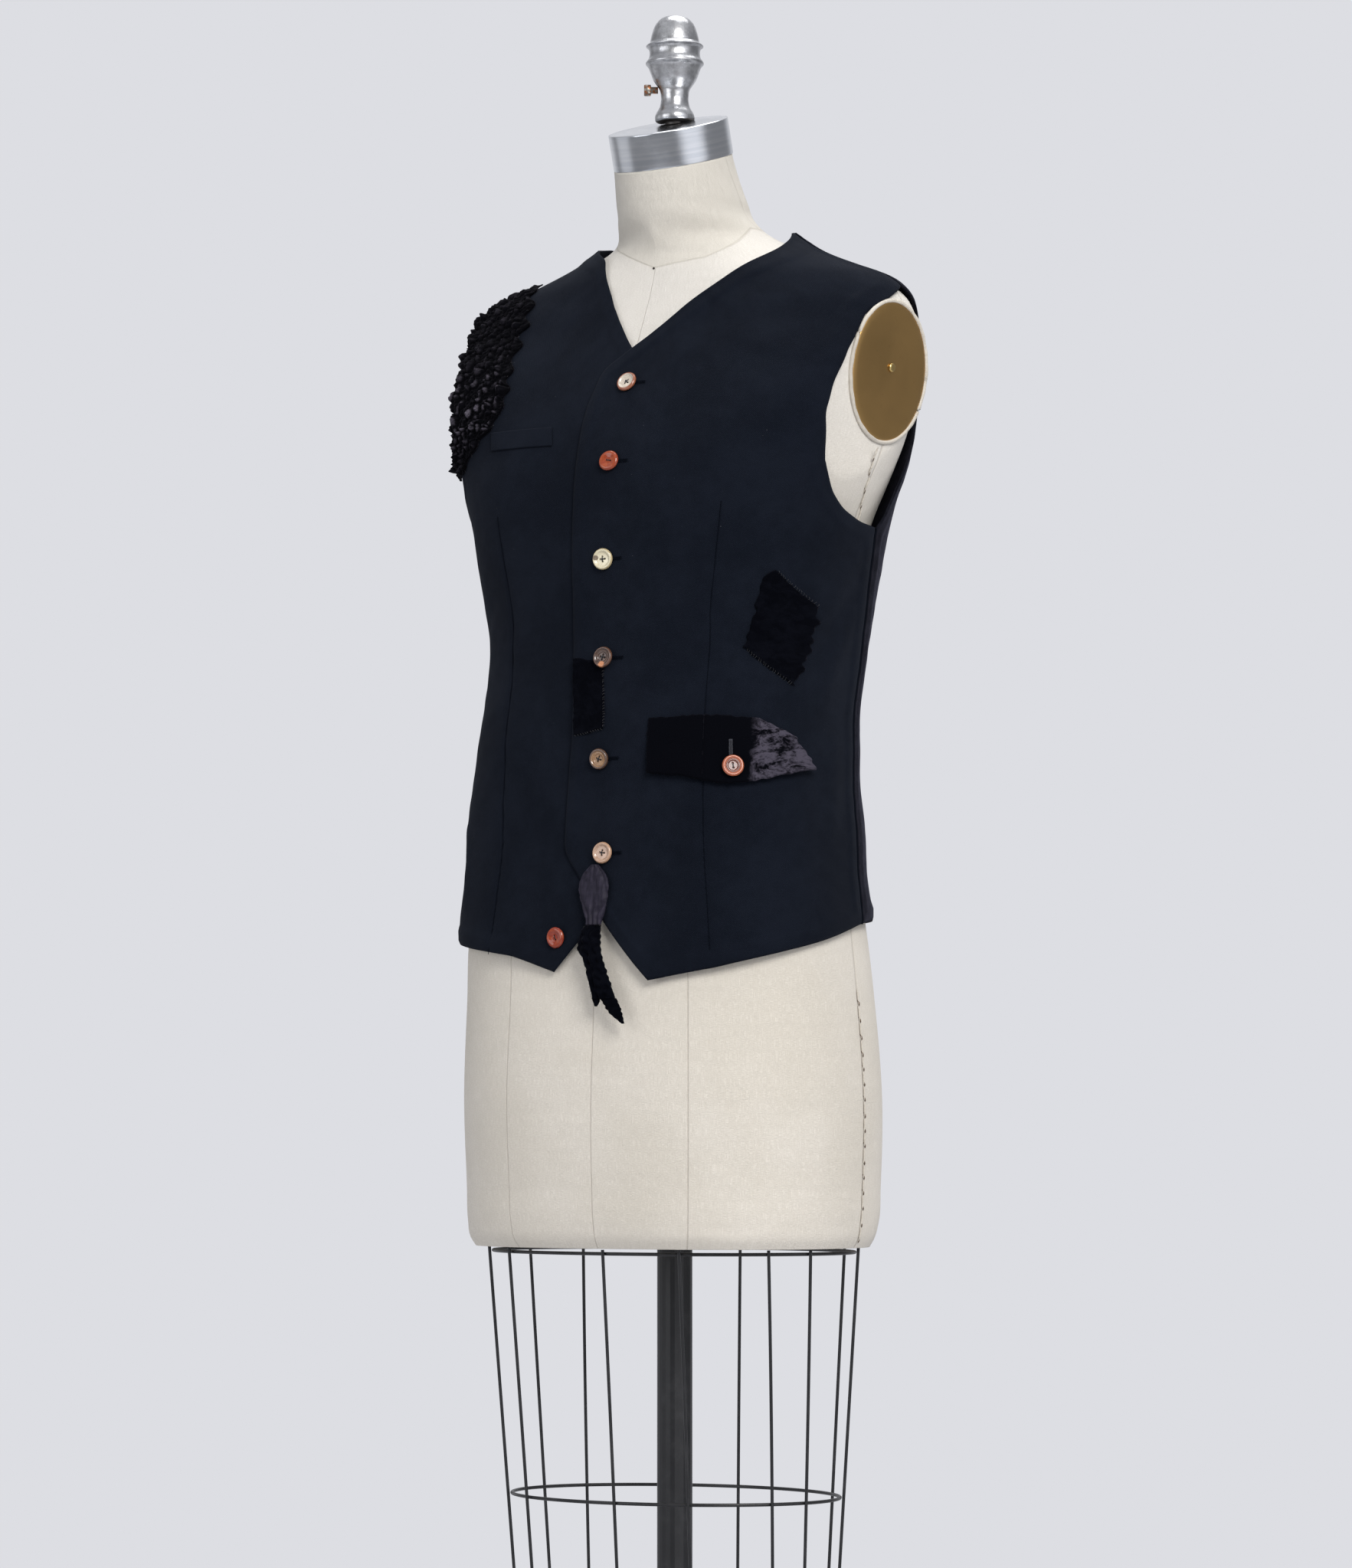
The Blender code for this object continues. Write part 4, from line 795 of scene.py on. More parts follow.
FLAP = laid_grid(
    ((0.0444, 1.0440, 0), (0.0806, 1.0460, 5), (0.1010, 1.0450, 3), (0.1212, 1.0434, 3),
     (0.1374, 1.0305, 3)),
    ((0.0443, 1.0032, 0), (0.0708, 1.0008, 4), (0.0980, 0.9945, 4), (0.1180, 0.9950, 3),
     (0.1445, 1.0048, 3)),
    ((0.0444, 1.0440, 0), (0.0443, 1.0032, 8)),
    ((0.1374, 1.0305, 0), (0.1420, 1.0170, 5), (0.1445, 1.0048, 3)),
    0.0004, 31,
)
flap_x, flap_z = FLAP[2][..., 0], FLAP[2][..., 1]
flap_drop = np.linspace(0, 1, flap_x.shape[0])[:, None] ** 1.4
# Bells of exp(-d^2) round the free corner and round the flap's button.
corner_lift = np.exp(-(((flap_x - 0.1440) / 0.020) ** 2 + ((flap_z - 1.0050) / 0.014) ** 2))
button_pull = np.exp(-(((flap_x - 0.1062) / 0.009) ** 2 + ((flap_z - 1.0070) / 0.008) ** 2))
flap_puff = flap_drop * (0.0024 + 0.0006 * ripple(flap_x, flap_z, 0.030, 8)) + 0.0032 * corner_lift
flap_puff = np.maximum(flap_puff - 0.0010 * button_pull, 0)
pocket_flap = lay_piece("pocket_flap", FLAP, 0.0020, FLAP_LOOK, 1, flap_puff)


# ---- Threads
# Seams, stitches, buttonholes and loose threads are thin tubes along runs of points, made
# from the cloth's own surface, many tubes to a piece.
def tubes(name, runs, radius, look, sides=5, closed=False, taper=0.0):
    """Tubes of the same radius along runs of points, their ends thinner by the taper."""
    points, faces, flats = [], [], []
    start = 0
    for run in runs:
        run = np.asarray(run, float)
        ahead = np.roll(run, -1, 0) - np.roll(run, 1, 0)
        if not closed:
            ahead[0], ahead[-1] = run[1] - run[0], run[-1] - run[-2]
        ahead /= np.maximum(np.linalg.norm(ahead, axis=1, keepdims=True), 1e-9)
        helper = np.where(np.abs(ahead[:, 2:3]) < 0.9, [[0.0, 0.0, 1.0]], [[0.0, 1.0, 0.0]])
        side = np.cross(ahead, helper)
        side /= np.linalg.norm(side, axis=1, keepdims=True)
        over = np.cross(side, ahead)
        turn = np.linspace(0, 2 * np.pi, sides, endpoint=False)
        share = np.linspace(-1, 1, len(run)) if not closed else np.zeros(len(run))
        size = radius * (1 - taper * np.abs(share) ** 3)[:, None, None]
        ring = np.cos(turn)[None, :, None] * side[:, None] + np.sin(turn)[None, :, None] * over[:, None]
        points.append((run[:, None] + size * ring).reshape(-1, 3))
        ids = start + np.arange(len(run) * sides).reshape(len(run), sides)
        ids = np.concatenate([ids, ids[:, :1]], 1)
        if closed:
            ids = np.concatenate([ids, ids[:1]], 0)
        faces.append(cell_quads(ids)[:, ::-1])
        if not closed:
            faces.append(end_caps(ids[:, :-1]))
        along = np.linspace(0, 0.001 * len(run), len(run))
        flats.append(np.stack(np.meshgrid(along, turn * radius, indexing="ij"), -1).reshape(-1, 2))
        start += len(run) * sides
    faces = [list(map(int, face)) for group in faces for face in group]
    return mesh_piece(name, np.concatenate(points), faces, look, np.concatenate(flats))


def end_caps(ids):
    """The polygons that close a tube at its first and last ring."""
    return [ids[0].tolist(), ids[-1][::-1].tolist()]


def thread_look(name, colour, roughness=0.7):
    """Twisted sewing thread."""
    look = Look(name, Roughness=roughness, Sheen_Weight=0.2, Specular_IOR_Level=0.3)
    flat, u, v = look.uv()
    twist = look.node("ShaderNodeMath", 0, {0: (u + v * 2.0) * 9000.0}, operation="SINE")
    darker = tuple(0.6 * c for c in colour)
    look.set(Base_Color=look.mix(twist * 0.5 + 0.5, darker, colour))
    return look.material


DARK_THREAD = thread_look("dark_thread", (0.010, 0.011, 0.016))
GREY_THREAD = thread_look("grey_thread", (0.040, 0.042, 0.055))


def dart_run(side):
    """The sewn line of a front's dart, just proud of the crease."""
    table = np.array(DART)[::-1]
    height = np.linspace(0.873, DART_TOP - 0.0008, 160)
    angle = np.interp(height, table[:, 1], table[:, 0])
    lift = lap_lift(vest_point(side * angle, height)[..., 0], side)
    return vest_point(side * angle, height, lift + 0.00005)


SEAM_LOOK = Look("sewn_seam", Base_Color=(0.0028, 0.0038, 0.0068, 1), Roughness=0.95,
                 Specular_IOR_Level=0.03).material
tubes("dart_seams", [dart_run(1), dart_run(-1)], 0.00026, SEAM_LOOK, 6)
# The side and shoulder seams: the angle, and the heights between which they run.
JOINS = ((SIDE_ANGLE, 0.8945, 1.1920), (SHOULDER_ANGLE, 1.3770, 1.4260))
joins = [vest_point(side * angle, np.linspace(low, high, 90), -0.0009)
         for angle, low, high in JOINS for side in (1, -1)]
tubes("joining_seams", joins, 0.0011, SEAM_LOOK, 8)


def arches(starts, ends, low, high, count=5):
    """Stitches over the left front between points of x and height, bowed up from low to high."""
    share = np.linspace(0, 1, count)[None, :, None]
    starts, ends = np.array(starts)[:, None], np.array(ends)[:, None]
    line = starts + (ends - starts) * share
    angle = angles_at(line[..., 0], line[..., 1])
    base = lap_lift(vest_point(angle, line[..., 1])[..., 0], 1)
    up = np.broadcast_to(low, len(starts))[:, None] + (high - low) * np.sin(np.pi * share[..., 0])
    return list(vest_point(angle, line[..., 1], base + up))


def whip_edge(start, end, count, reach):
    """The two ends of each whip stitch across a patch's edge, slanted and a little uneven."""
    start, end = np.array(start), np.array(end)
    way = (end - start) / np.linalg.norm(end - start)
    out = np.array([way[1], -way[0]])
    jitter = RANDOM.uniform(-0.2, 0.2, (count, 1))
    middle = start + (end - start) * (np.arange(count)[:, None] + 0.5 + jitter) / count
    slant = way * reach * RANDOM.uniform(0.2, 0.9, (count, 1))
    size = out * reach * RANDOM.uniform(0.7, 1.2, (count, 1))
    return middle - size - slant, middle + size * 0.7 + slant


# Patch edges that are whipped on: x and height of both ends, stitches, and their reach.
WHIPPED_EDGES = (
    ((0.1275, 1.1522), (0.1434, 1.1288), 17, 0.0012),
    ((0.1085, 1.0945), (0.1330, 1.0695), 19, 0.0012),
    ((0.0050, 1.0860), (0.0078, 1.0380), 22, 0.0008),
    ((-0.0170, 1.0330), (0.0070, 1.0370), 11, 0.0008),
)
whip_ends = [whip_edge(*row) for row in WHIPPED_EDGES]
whips = arches(*(np.concatenate(group) for group in zip(*whip_ends)), 0.0004, 0.0021)
tubes("patch_stitches", whips, 0.00016, DARK_THREAD)

# The buttonholes: x and height of the middle.
BUTTONHOLES = (
    (0.0125, 1.2981), (0.0112, 1.2372), (0.0100, 1.1641), (0.0120, 1.0902), (0.0108, 1.0154),
    (0.0130, 0.9457),
)
BUTTONHOLE_LENGTH = 0.0190
BUTTONHOLE_HALF_WIDTH = 0.0011
STITCH_SPACING = 0.00052
# The same for the flap's, with the way that it runs and its length.
FLAP_HOLE = (0.1044, 1.0192, 94.0, 0.0140)
FLAP_HOLE_LIFT = 0.0036


def buttonhole(x, z, turn=0.0, length=BUTTONHOLE_LENGTH):
    """The ends of close stitches on both sides of a slit, and of the bars across its ends."""
    way = np.array([math.cos(math.radians(turn)), math.sin(math.radians(turn))])
    across = np.array([-way[1], way[0]])
    count = int(length / STITCH_SPACING)
    spots = np.array([x, z]) + way * length * ((np.arange(count)[:, None] + 0.5) / count - 0.5)
    starts, ends = [], []
    for face in (1, -1):
        size = BUTTONHOLE_HALF_WIDTH * RANDOM.uniform(0.85, 1.12, (count, 1))
        starts.append(spots + across * face * 0.00016)
        ends.append(spots + across * face * size)
    for end in (1, -1):
        bars = np.array([[x, z] + way * end * (length / 2 + 0.0003 * k) for k in (-1, 0, 1)])
        starts.append(bars - across * BUTTONHOLE_HALF_WIDTH)
        ends.append(bars + across * BUTTONHOLE_HALF_WIDTH)
    return np.concatenate(starts), np.concatenate(ends)


hole_ends = [buttonhole(*hole) for hole in BUTTONHOLES]
hole_runs = arches(*(np.concatenate(group) for group in zip(*hole_ends)), 0.0001, 0.0005, count=4)
tubes("buttonholes", hole_runs, 0.00021, SEAM_LOOK, 4)
flap_runs = arches(*buttonhole(*FLAP_HOLE), FLAP_HOLE_LIFT, FLAP_HOLE_LIFT + 0.0004, count=4)
tubes("flap_buttonhole", flap_runs, 0.00022, GREY_THREAD, 4)

# ---- Buttons
# Eight odd buttons, each a turned disc with its own section and drilled holes, sewn on with
# crossed thread. The columns are x, height, side, extra lift, radius, holes, tilt and turn.
BUTTONS = {
    "button_1": (0.0072, 1.2981, 1, 0.0, 0.0080, 4, (3, -4), 8),
    "button_2": (0.0059, 1.2372, 1, 0.0, 0.0078, 2, (-3, 3), 80),
    "button_3": (0.0047, 1.1641, 1, 0.0, 0.0080, 4, (2, 4), 47),
    "button_4": (0.0064, 1.0902, 1, 0.0016, 0.0079, 4, (-4, -3), 30),
    "button_5": (0.0053, 1.0154, 1, 0.0, 0.0078, 4, (3, 2), 22),
    "button_6": (0.0077, 0.9457, 1, 0.0, 0.0080, 4, (-2, 4), 38),
    "button_tip": (-0.0305, 0.8839, -1, 0.0, 0.0078, 2, (5, -5), 20),
    "button_flap": (0.1062, 1.0070, 1, 0.0042, 0.0080, 2, (-5, 5), 10),
}
# Sections from the middle to the rim: shares of the radius, then of the thickness.
SECTIONS = {
    "dished": ((0.0, 0.40, 0.62, 0.74, 0.86, 0.96, 1.0), (0.50, 0.52, 0.58, 0.92, 1.0, 0.80, 0.45)),
    "domed": ((0.0, 0.35, 0.50, 0.70, 0.85, 0.95, 1.0), (0.62, 0.62, 0.78, 0.96, 0.92, 0.70, 0.42)),
    "stepped": ((0.0, 0.44, 0.50, 0.60, 0.66, 0.80, 0.92, 1.0),
                (0.52, 0.52, 0.70, 0.72, 0.60, 0.96, 0.94, 0.45)),
}
BUTTON_THICKNESS = 0.0030
BUTTON_GAP = 0.0007
HOLE_OUT = 0.0019
HOLE_RADIUS = 0.00078
HOLE_FLOOR = 0.0004
THREAD_SPACING = 0.00022
SHANK_RADIUS = 0.0009


def button_frame(x, z, side, lift, tilt, turn):
    """The place of a button: on the cloth, leaning by a few degrees."""
    angle = angles_at(np.array([x]), np.array([z]))
    base = lap_lift(vest_point(angle, np.array([z]))[..., 0], side) + lift
    spot = vest_point(angle, np.array([z]), base)[0]
    out = Vector(vest_point(angle, np.array([z]), base + 0.01)[0] - spot).normalized()
    across = Vector((0, 0, 1)).cross(out).normalized()
    frame_axes = Matrix((across, out.cross(across), out)).transposed().to_4x4()
    lean = Matrix.Rotation(math.radians(tilt[0]), 4, "X") @ Matrix.Rotation(math.radians(tilt[1]), 4, "Y")
    return Matrix.Translation(Vector(spot)) @ frame_axes @ lean @ Matrix.Rotation(math.radians(turn), 4, "Z")


def moved(points, place):
    """Points given in the axes of a place, in the world's."""
    return points @ np.array(place.to_3x3()).T + np.array(place.translation)


def closed_ids(rows, around):
    """The ids of a grid of points, and the same with the first column again at the end."""
    ids = np.arange(rows * around).reshape(rows, around)
    return ids, np.concatenate([ids, ids[:, :1]], 1)


def hole_places(count):
    """The middles of the holes in a button's own plane."""
    turns = [math.pi * 2 * (k + 0.5) / count for k in range(count)]
    reach = HOLE_OUT if count == 4 else HOLE_OUT * 0.85
    return [(reach * math.cos(t), reach * math.sin(t)) for t in turns]


def make_button(name, section, look):
    """A polar grid: h(r) from the section, sunk within each hole, over a plain back."""
    x, z, side, extra, radius, count, tilt, turn = BUTTONS[name]
    rings, spokes = ((48, 96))
    share = np.concatenate([np.linspace(0.01, 1, rings), [0.985, 0.90, 0.60, 0.01]])
    face = np.interp(share[:rings], *SECTIONS[section])
    window = np.hanning(7)[1:-1]
    face = np.convolve(np.pad(face, 2, mode="edge"), window / window.sum(), "valid")
    height = np.concatenate([face, [0.20, 0.08, 0.0, 0.0]]) * BUTTON_THICKNESS
    sweep = np.linspace(0, 2 * np.pi, spokes, endpoint=False)
    u = radius * share[:, None] * np.cos(sweep)
    v = radius * share[:, None] * np.sin(sweep)
    w = np.repeat(height[:, None], spokes, 1)
    for hole_x, hole_y in hole_places(count):
        inside = smooth_step((HOLE_RADIUS - np.hypot(u - hole_x, v - hole_y)) / 0.00022)
        inside[rings:] = 0
        w = w - inside * (w - HOLE_FLOOR)
    points = np.stack([u, v, w], -1).reshape(-1, 3)
    ids, wrapped = closed_ids(len(share), spokes)
    place = button_frame(x, z, side, extra + BUTTON_GAP, tilt, turn)
    faces = cell_quads(wrapped).tolist() + end_caps(ids)
    piece = mesh_piece(name, moved(points, place), faces, look, points[:, :2])
    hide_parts(name)
    spots = hole_places(count)
    pairs = ((0, 2), (1, 3)) if count == 4 else ((0, 1),)
    runs = []
    for a, b in pairs:
        for k in range(3):
            shift = THREAD_SPACING * (k - 1)
            way = np.array(spots[b]) - np.array(spots[a])
            across = np.array([-way[1], way[0]]) / np.linalg.norm(way) * shift
            s = np.linspace(0, 1, 9)
            level = np.interp(s, (0, 0.12, 0.5, 0.88, 1), (0.0006, 0.0018, 0.0023, 0.0018, 0.0006))
            line = np.array(spots[a]) + way * s[:, None] + across
            runs.append(moved(np.concatenate([line, level[:, None]], 1), place))
    tubes(name + "_thread", runs, 0.00017, DARK_THREAD, 5)
    shank = []
    for t in np.linspace(0, 2 * np.pi, 7)[:-1]:
        spot = (SHANK_RADIUS * math.cos(t), SHANK_RADIUS * math.sin(t))
        shank.append(moved(np.array([(*spot, level) for level in (-0.0012, 0.0, 0.0009)]), place))
    tubes(name + "_shank", shank, 0.00030, DARK_THREAD, 5)


def radius_value(look):
    """How far from a button's middle a point is, over the usual radius."""
    _, u, v = look.uv()
    return ((u * u + v * v) ** 0.5) / 0.008


def pearl_look(name, middle, rim, rim_from, swirl, spot=None, coat=0.5):
    """Mother of pearl or shell: wavy growth bands under a clear gloss, a coloured rim, a spot."""
    look = Look(name, Roughness=0.24, Coat_Weight=coat, Coat_Roughness=0.08, Specular_IOR_Level=0.6)
    flat, u, v = look.uv()
    band = look.noise(260.0, look.stretched(flat, (1, 3.4, 1)), 4.0, 0.6, 1.2)
    cloudy = look.noise(120.0, flat, 3.0, 0.5)
    body = look.mix(band.step(0.35, 0.68) * 0.8, middle, swirl)
    body = look.mix(cloudy.step(0.52, 0.72) * 0.35, body, tuple(min(1, 1.5 * c) for c in swirl))
    out = radius_value(look)
    body = look.mix((out + (band - 0.5) * 0.10).step(rim_from, rim_from + 0.10), body, rim)
    if spot:
        (spot_u, spot_v), size, colour = spot
        near = ((u - spot_u) ** 2.0 + (v - spot_v) ** 2.0) ** 0.5
        body = look.mix(1.0 - (near + (cloudy - 0.5) * 0.002).step(size * 0.6, size), body, colour)
    look.set(Base_Color=body)
    look.bump(band * 0.6 + cloudy * 0.4, 0.00012, 0.5)
    return look.material


def resin_look(name, colour, streak, roughness=0.15):
    """Glossy cast resin with faint clouds and fine scratches."""
    look = Look(name, Roughness=roughness, Coat_Weight=0.3, Coat_Roughness=0.05, Specular_IOR_Level=0.4,
                Subsurface_Weight=0.08, Subsurface_Radius=(0.002, 0.0008, 0.0004))
    flat, _, _ = look.uv()
    cloudy = look.noise(210.0, flat, 4.0, 0.6, 0.8)
    out = radius_value(look)
    body = look.mix(cloudy.step(0.35, 0.7), colour, streak)
    look.set(Base_Color=look.mix(out.step(0.55, 0.72) * (1.0 - out.step(0.80, 0.95)) * 0.35, body, streak))
    look.bump(look.noise(2400.0, flat, 2.0), 0.00003, 0.3)
    return look.material


BROWN_SPOT = ((-0.0030, 0.0046), 0.0024, (0.16, 0.12, 0.08))
ORANGE_SPOT = ((-0.0030, -0.0046), 0.0030, (0.52, 0.22, 0.10))
BUTTON_LOOKS = {
    "button_1": ("dished", pearl_look, "pearl_copper", (0.46, 0.40, 0.33), (0.26, 0.085, 0.040),
                 0.74, (0.62, 0.56, 0.47)),
    "button_2": ("domed", resin_look, "rust_resin", (0.22, 0.030, 0.009), (0.33, 0.066, 0.019)),
    "button_3": ("dished", pearl_look, "cream_pearl", (0.56, 0.50, 0.34), (0.42, 0.34, 0.19),
                 0.84, (0.68, 0.62, 0.46), BROWN_SPOT),
    "button_4": ("stepped", pearl_look, "brown_shell", (0.040, 0.018, 0.011), (0.085, 0.038, 0.022),
                 0.78, (0.080, 0.038, 0.022), ORANGE_SPOT, 0.15),
    "button_5": ("stepped", pearl_look, "golden_brown", (0.20, 0.100, 0.040), (0.075, 0.038, 0.022),
                 0.70, (0.30, 0.17, 0.075)),
    "button_6": ("dished", pearl_look, "pinkish_beige", (0.34, 0.205, 0.135), (0.42, 0.25, 0.155),
                 0.80, (0.48, 0.33, 0.24)),
    "button_tip": ("domed", resin_look, "red_resin", (0.20, 0.020, 0.008), (0.30, 0.055, 0.020),
                   0.10),
    "button_flap": ("stepped", pearl_look, "salmon", (0.10, 0.026, 0.015), (0.40, 0.115, 0.055),
                    0.62, (0.16, 0.045, 0.026), None, 0.15),
}
for name, (section, make_look, *values) in BUTTON_LOOKS.items():
    make_button(name, section, make_look(*values))

# ---- Gathered trim
# Black velvet shirred in rows along the right armhole: puffs between the rows of stitches,
# a scalloped outer edge, and loose threads. The columns are the outer and inner angle and height.
RUFFLE_EDGES = (
    (84.0, 1.3860, 73.0, 1.3960),
    (80.0, 1.3700, 61.0, 1.3790),
    (75.5, 1.3500, 55.0, 1.3570),
    (70.0, 1.3270, 50.0, 1.3320),
    (66.5, 1.3030, 45.5, 1.3080),
    (65.0, 1.2780, 43.5, 1.2850),
    (64.5, 1.2580, 47.5, 1.2660),
    (66.0, 1.2400, 58.0, 1.2440),
)
RUFFLE_LENGTH = 0.155
SHIRR_SPACING = 0.0068
PUFF_LENGTH = 0.0076
PUFF_HEIGHT = 0.0042
SCALLOP_LENGTH = 0.0165
SCALLOP_ANGLE = 1.7
SCALLOP_HEIGHT = 0.0038
RUFFLE_BACKING = 0.0012
RUFFLE_RADIUS = 0.17


def ruffle_look():
    """Old velvet in tight gathers: painted shade makes the hollows black, and painted glints on the worn
    crests show grey and purple lower down.
    """
    look = Look("gathered_velvet", Roughness=0.80, Sheen_Weight=0.06, Sheen_Roughness=0.30,
                Sheen_Tint=(0.50, 0.46, 0.62, 1), Specular_IOR_Level=0.04)
    flat, _, v = look.uv()
    crest = look.node("ShaderNodeAttribute", "Fac", attribute_name="crest")
    worn = look.noise(75.0, flat, 4.0, 0.6, 0.8)
    fine = look.noise(1500.0, flat, 4.0, 0.7)
    # Painted glints: on the crests where the velvet is worn, most of them near the lower end.
    low_end = (v - 0.105).size().step(0.040, 0.012) * 0.85 + 0.15
    painted_glint = crest.step(0.30, 0.80) * worn.step(0.40, 0.56) * fine.step(0.30, 0.60) * low_end
    # Painted shade: where the crest share is low, between the puffs, the velvet is darker.
    dark = look.mix(crest.step(0.2, 0.8), (0.0005, 0.0005, 0.0012), (0.0020, 0.0019, 0.0034))
    look.set(Base_Color=look.mix(painted_glint * 0.9, dark, (0.120, 0.108, 0.135)))
    look.bump(fine * 0.8 + worn * 0.5, 0.0005, 0.9)
    return look.material


def make_ruffle():
    """h = backing + puff height x |sin| of the row phase x a warped train of puffs."""
    table = np.array(RUFFLE_EDGES)
    rows, columns = ((320, 100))
    t = np.linspace(0, len(table) - 1, rows)
    knots = np.arange(len(table))
    edges = blurred(np.stack([np.interp(t, knots, column) for column in table.T], -1), rows // 8 - 1)
    s = np.linspace(0, 1, columns)[None, :]
    v = np.linspace(0, RUFFLE_LENGTH, rows)[:, None] + 0 * s
    width = np.radians(edges[:, 0:1] - edges[:, 2:3]) * RUFFLE_RADIUS
    u = s * width
    lobes = np.abs(np.sin(np.pi * (v + 0.0016 * ripple(v, u, 0.03, 41)) / SCALLOP_LENGTH)) ** 0.5
    end_fade = np.minimum(1, np.minimum(v, RUFFLE_LENGTH - v) / 0.006)
    outwards = (SCALLOP_ANGLE * lobes - 0.6) * end_fade * np.exp(-((u / 0.005) ** 2))
    inner_waver = 0.8 * ripple(v, v * 0, 0.012, 43) * np.exp(-(((u - width) / 0.004) ** 2))
    angle = -(edges[:, 0:1] * (1 - s) + edges[:, 2:3] * s + outwards + inner_waver)
    height = edges[:, 1:2] * (1 - s) + edges[:, 3:4] * s
    warp_u = u + 0.0012 * ripple(u, v, 0.016, 44)
    row_phase = warp_u / SHIRR_SPACING
    row_number = np.floor(row_phase)
    between = np.abs(np.sin(np.pi * row_phase)) ** 0.55
    shift = 0.37 * row_number + 0.25 * ripple(u, v, 0.010, 45)
    train = 0.5 + 0.5 * np.sin(2 * np.pi * (v / PUFF_LENGTH + shift) + 0.8 * ripple(u, v, 0.020, 46))
    size = 0.65 + 0.35 * ripple(u + 7, v, 0.011, 47)
    crest = between * (0.25 + 0.75 * train**0.8) * np.clip(size, 0.25, 1.25)
    border = np.minimum(np.minimum(s * 14, (1 - s) * 14), end_fade * 1.5)
    crest = crest * np.clip(0.35 + border, 0.35, 1)
    outer_part = np.exp(-((u / 0.013) ** 4))
    lift = RUFFLE_BACKING + PUFF_HEIGHT * crest + 0.0003 * ripple(u, v, 0.0022, 48)
    lift = lift + SCALLOP_HEIGHT * lobes**0.9 * outer_part * end_fade * smooth_step(u / 0.004)
    outer = vest_point(angle, height, np.maximum(lift, 0.0010))
    inner = vest_point(angle, height, 0.0003)
    quads = cell_quads(np.arange(rows * columns).reshape(rows, columns))
    flat = np.stack([u, v], -1).reshape(-1, 2)
    piece = cloth_wall("ruffle", outer.reshape(-1, 3), inner.reshape(-1, 3), quads, ruffle_look(), flat)
    # The crest share goes on the mesh for the material's painted shade in the hollows and painted glints on
    # the crests.
    worn = piece.data.attributes.new("crest", "FLOAT", "POINT")
    worn.data.foreach_set("value", np.tile(crest.ravel(), 2).astype(np.float32))
    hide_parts("ruffle")
    return piece, outer


def loose_threads(roots, outs, length, bend, seed):
    """Short curling hairs from points on the cloth, in the outward way with a random sway."""
    source = np.random.default_rng(seed)
    runs = []
    for root, out in zip(roots, outs):
        size = length * source.uniform(0.35, 1.3)
        sway = source.normal(0, 1, 3)
        sway -= out * sway.dot(out)
        sway /= np.linalg.norm(sway)
        twist = np.cross(out, sway)
        t = np.linspace(0, 1, 8)[:, None]
        curl = source.uniform(1.0, 2.6)
        run = root - out * 0.0004 + out * size * t * (1 - 0.35 * t)
        run = run + sway * size * bend * t**1.6 + twist * size * 0.16 * np.sin(curl * np.pi * t)
        runs.append(run - np.array([0, 0, 1]) * size * 0.25 * t**2)
    return runs


ruffle, ruffle_face = make_ruffle()
edge_rows = np.linspace(3, ruffle_face.shape[0] - 4, 46).astype(int)
edge_roots = np.concatenate([ruffle_face[edge_rows, 1], ruffle_face[edge_rows[::3], -2]])
edge_outs = np.concatenate([
    ruffle_face[edge_rows, 0] - ruffle_face[edge_rows, 4],
    ruffle_face[edge_rows[::3], -1] - ruffle_face[edge_rows[::3], -5],
])
edge_outs /= np.linalg.norm(edge_outs, axis=1, keepdims=True)
HAIR = thread_look("black_hair", (0.012, 0.012, 0.016), 0.8)
tubes("ruffle_hairs", loose_threads(edge_roots, edge_outs, 0.0042, 0.5, 51), 0.00006, HAIR, 4)

# ---- Ribbon at the last button
# A satin leaf gathered under the button, then a black velvet knot whose two tails hang free.
# The columns are height, middle_x, half_width, stand_off and thickness.
TIE_SATIN = (
    (0.9372, 0.0017, 0.0030, 0.0008, 0.0020),
    (0.9315, 0.0015, 0.0085, 0.0008, 0.0024),
    (0.9240, 0.0018, 0.0124, 0.0009, 0.0028),
    (0.9140, 0.0028, 0.0118, 0.0010, 0.0030),
    (0.9040, 0.0042, 0.0094, 0.0012, 0.0032),
    (0.8960, 0.0046, 0.0068, 0.0014, 0.0036),
    (0.8925, 0.0046, 0.0062, 0.0016, 0.0040),
)
TIE_VELVET = (
    (0.8922, 0.0046, 0.0064, 0.0010, 0.0070),
    (0.8860, 0.0036, 0.0076, 0.0010, 0.0090),
    (0.8797, 0.0030, 0.0086, 0.0010, 0.0095),
    (0.8744, 0.0026, 0.0092, 0.0012, 0.0085),
    (0.8680, 0.0052, 0.0082, 0.0014, 0.0060),
    (0.8588, 0.0090, 0.0084, 0.0016, 0.0050),
    (0.8500, 0.0120, 0.0088, 0.0018, 0.0045),
    (0.8380, 0.0158, 0.0096, 0.0020, 0.0040),
)
TAIL_LEFT = (
    (0.8383, 0.0088, 0.0034, 0.0022, 0.0032),
    (0.8355, 0.0093, 0.0022, 0.0023, 0.0030),
    (0.8325, 0.0086, 0.0008, 0.0024, 0.0022),
)
TAIL_RIGHT = (
    (0.8383, 0.0192, 0.0066, 0.0022, 0.0034),
    (0.8320, 0.0232, 0.0062, 0.0023, 0.0032),
    (0.8260, 0.0268, 0.0046, 0.0024, 0.0030),
    (0.8196, 0.0318, 0.0008, 0.0025, 0.0022),
)


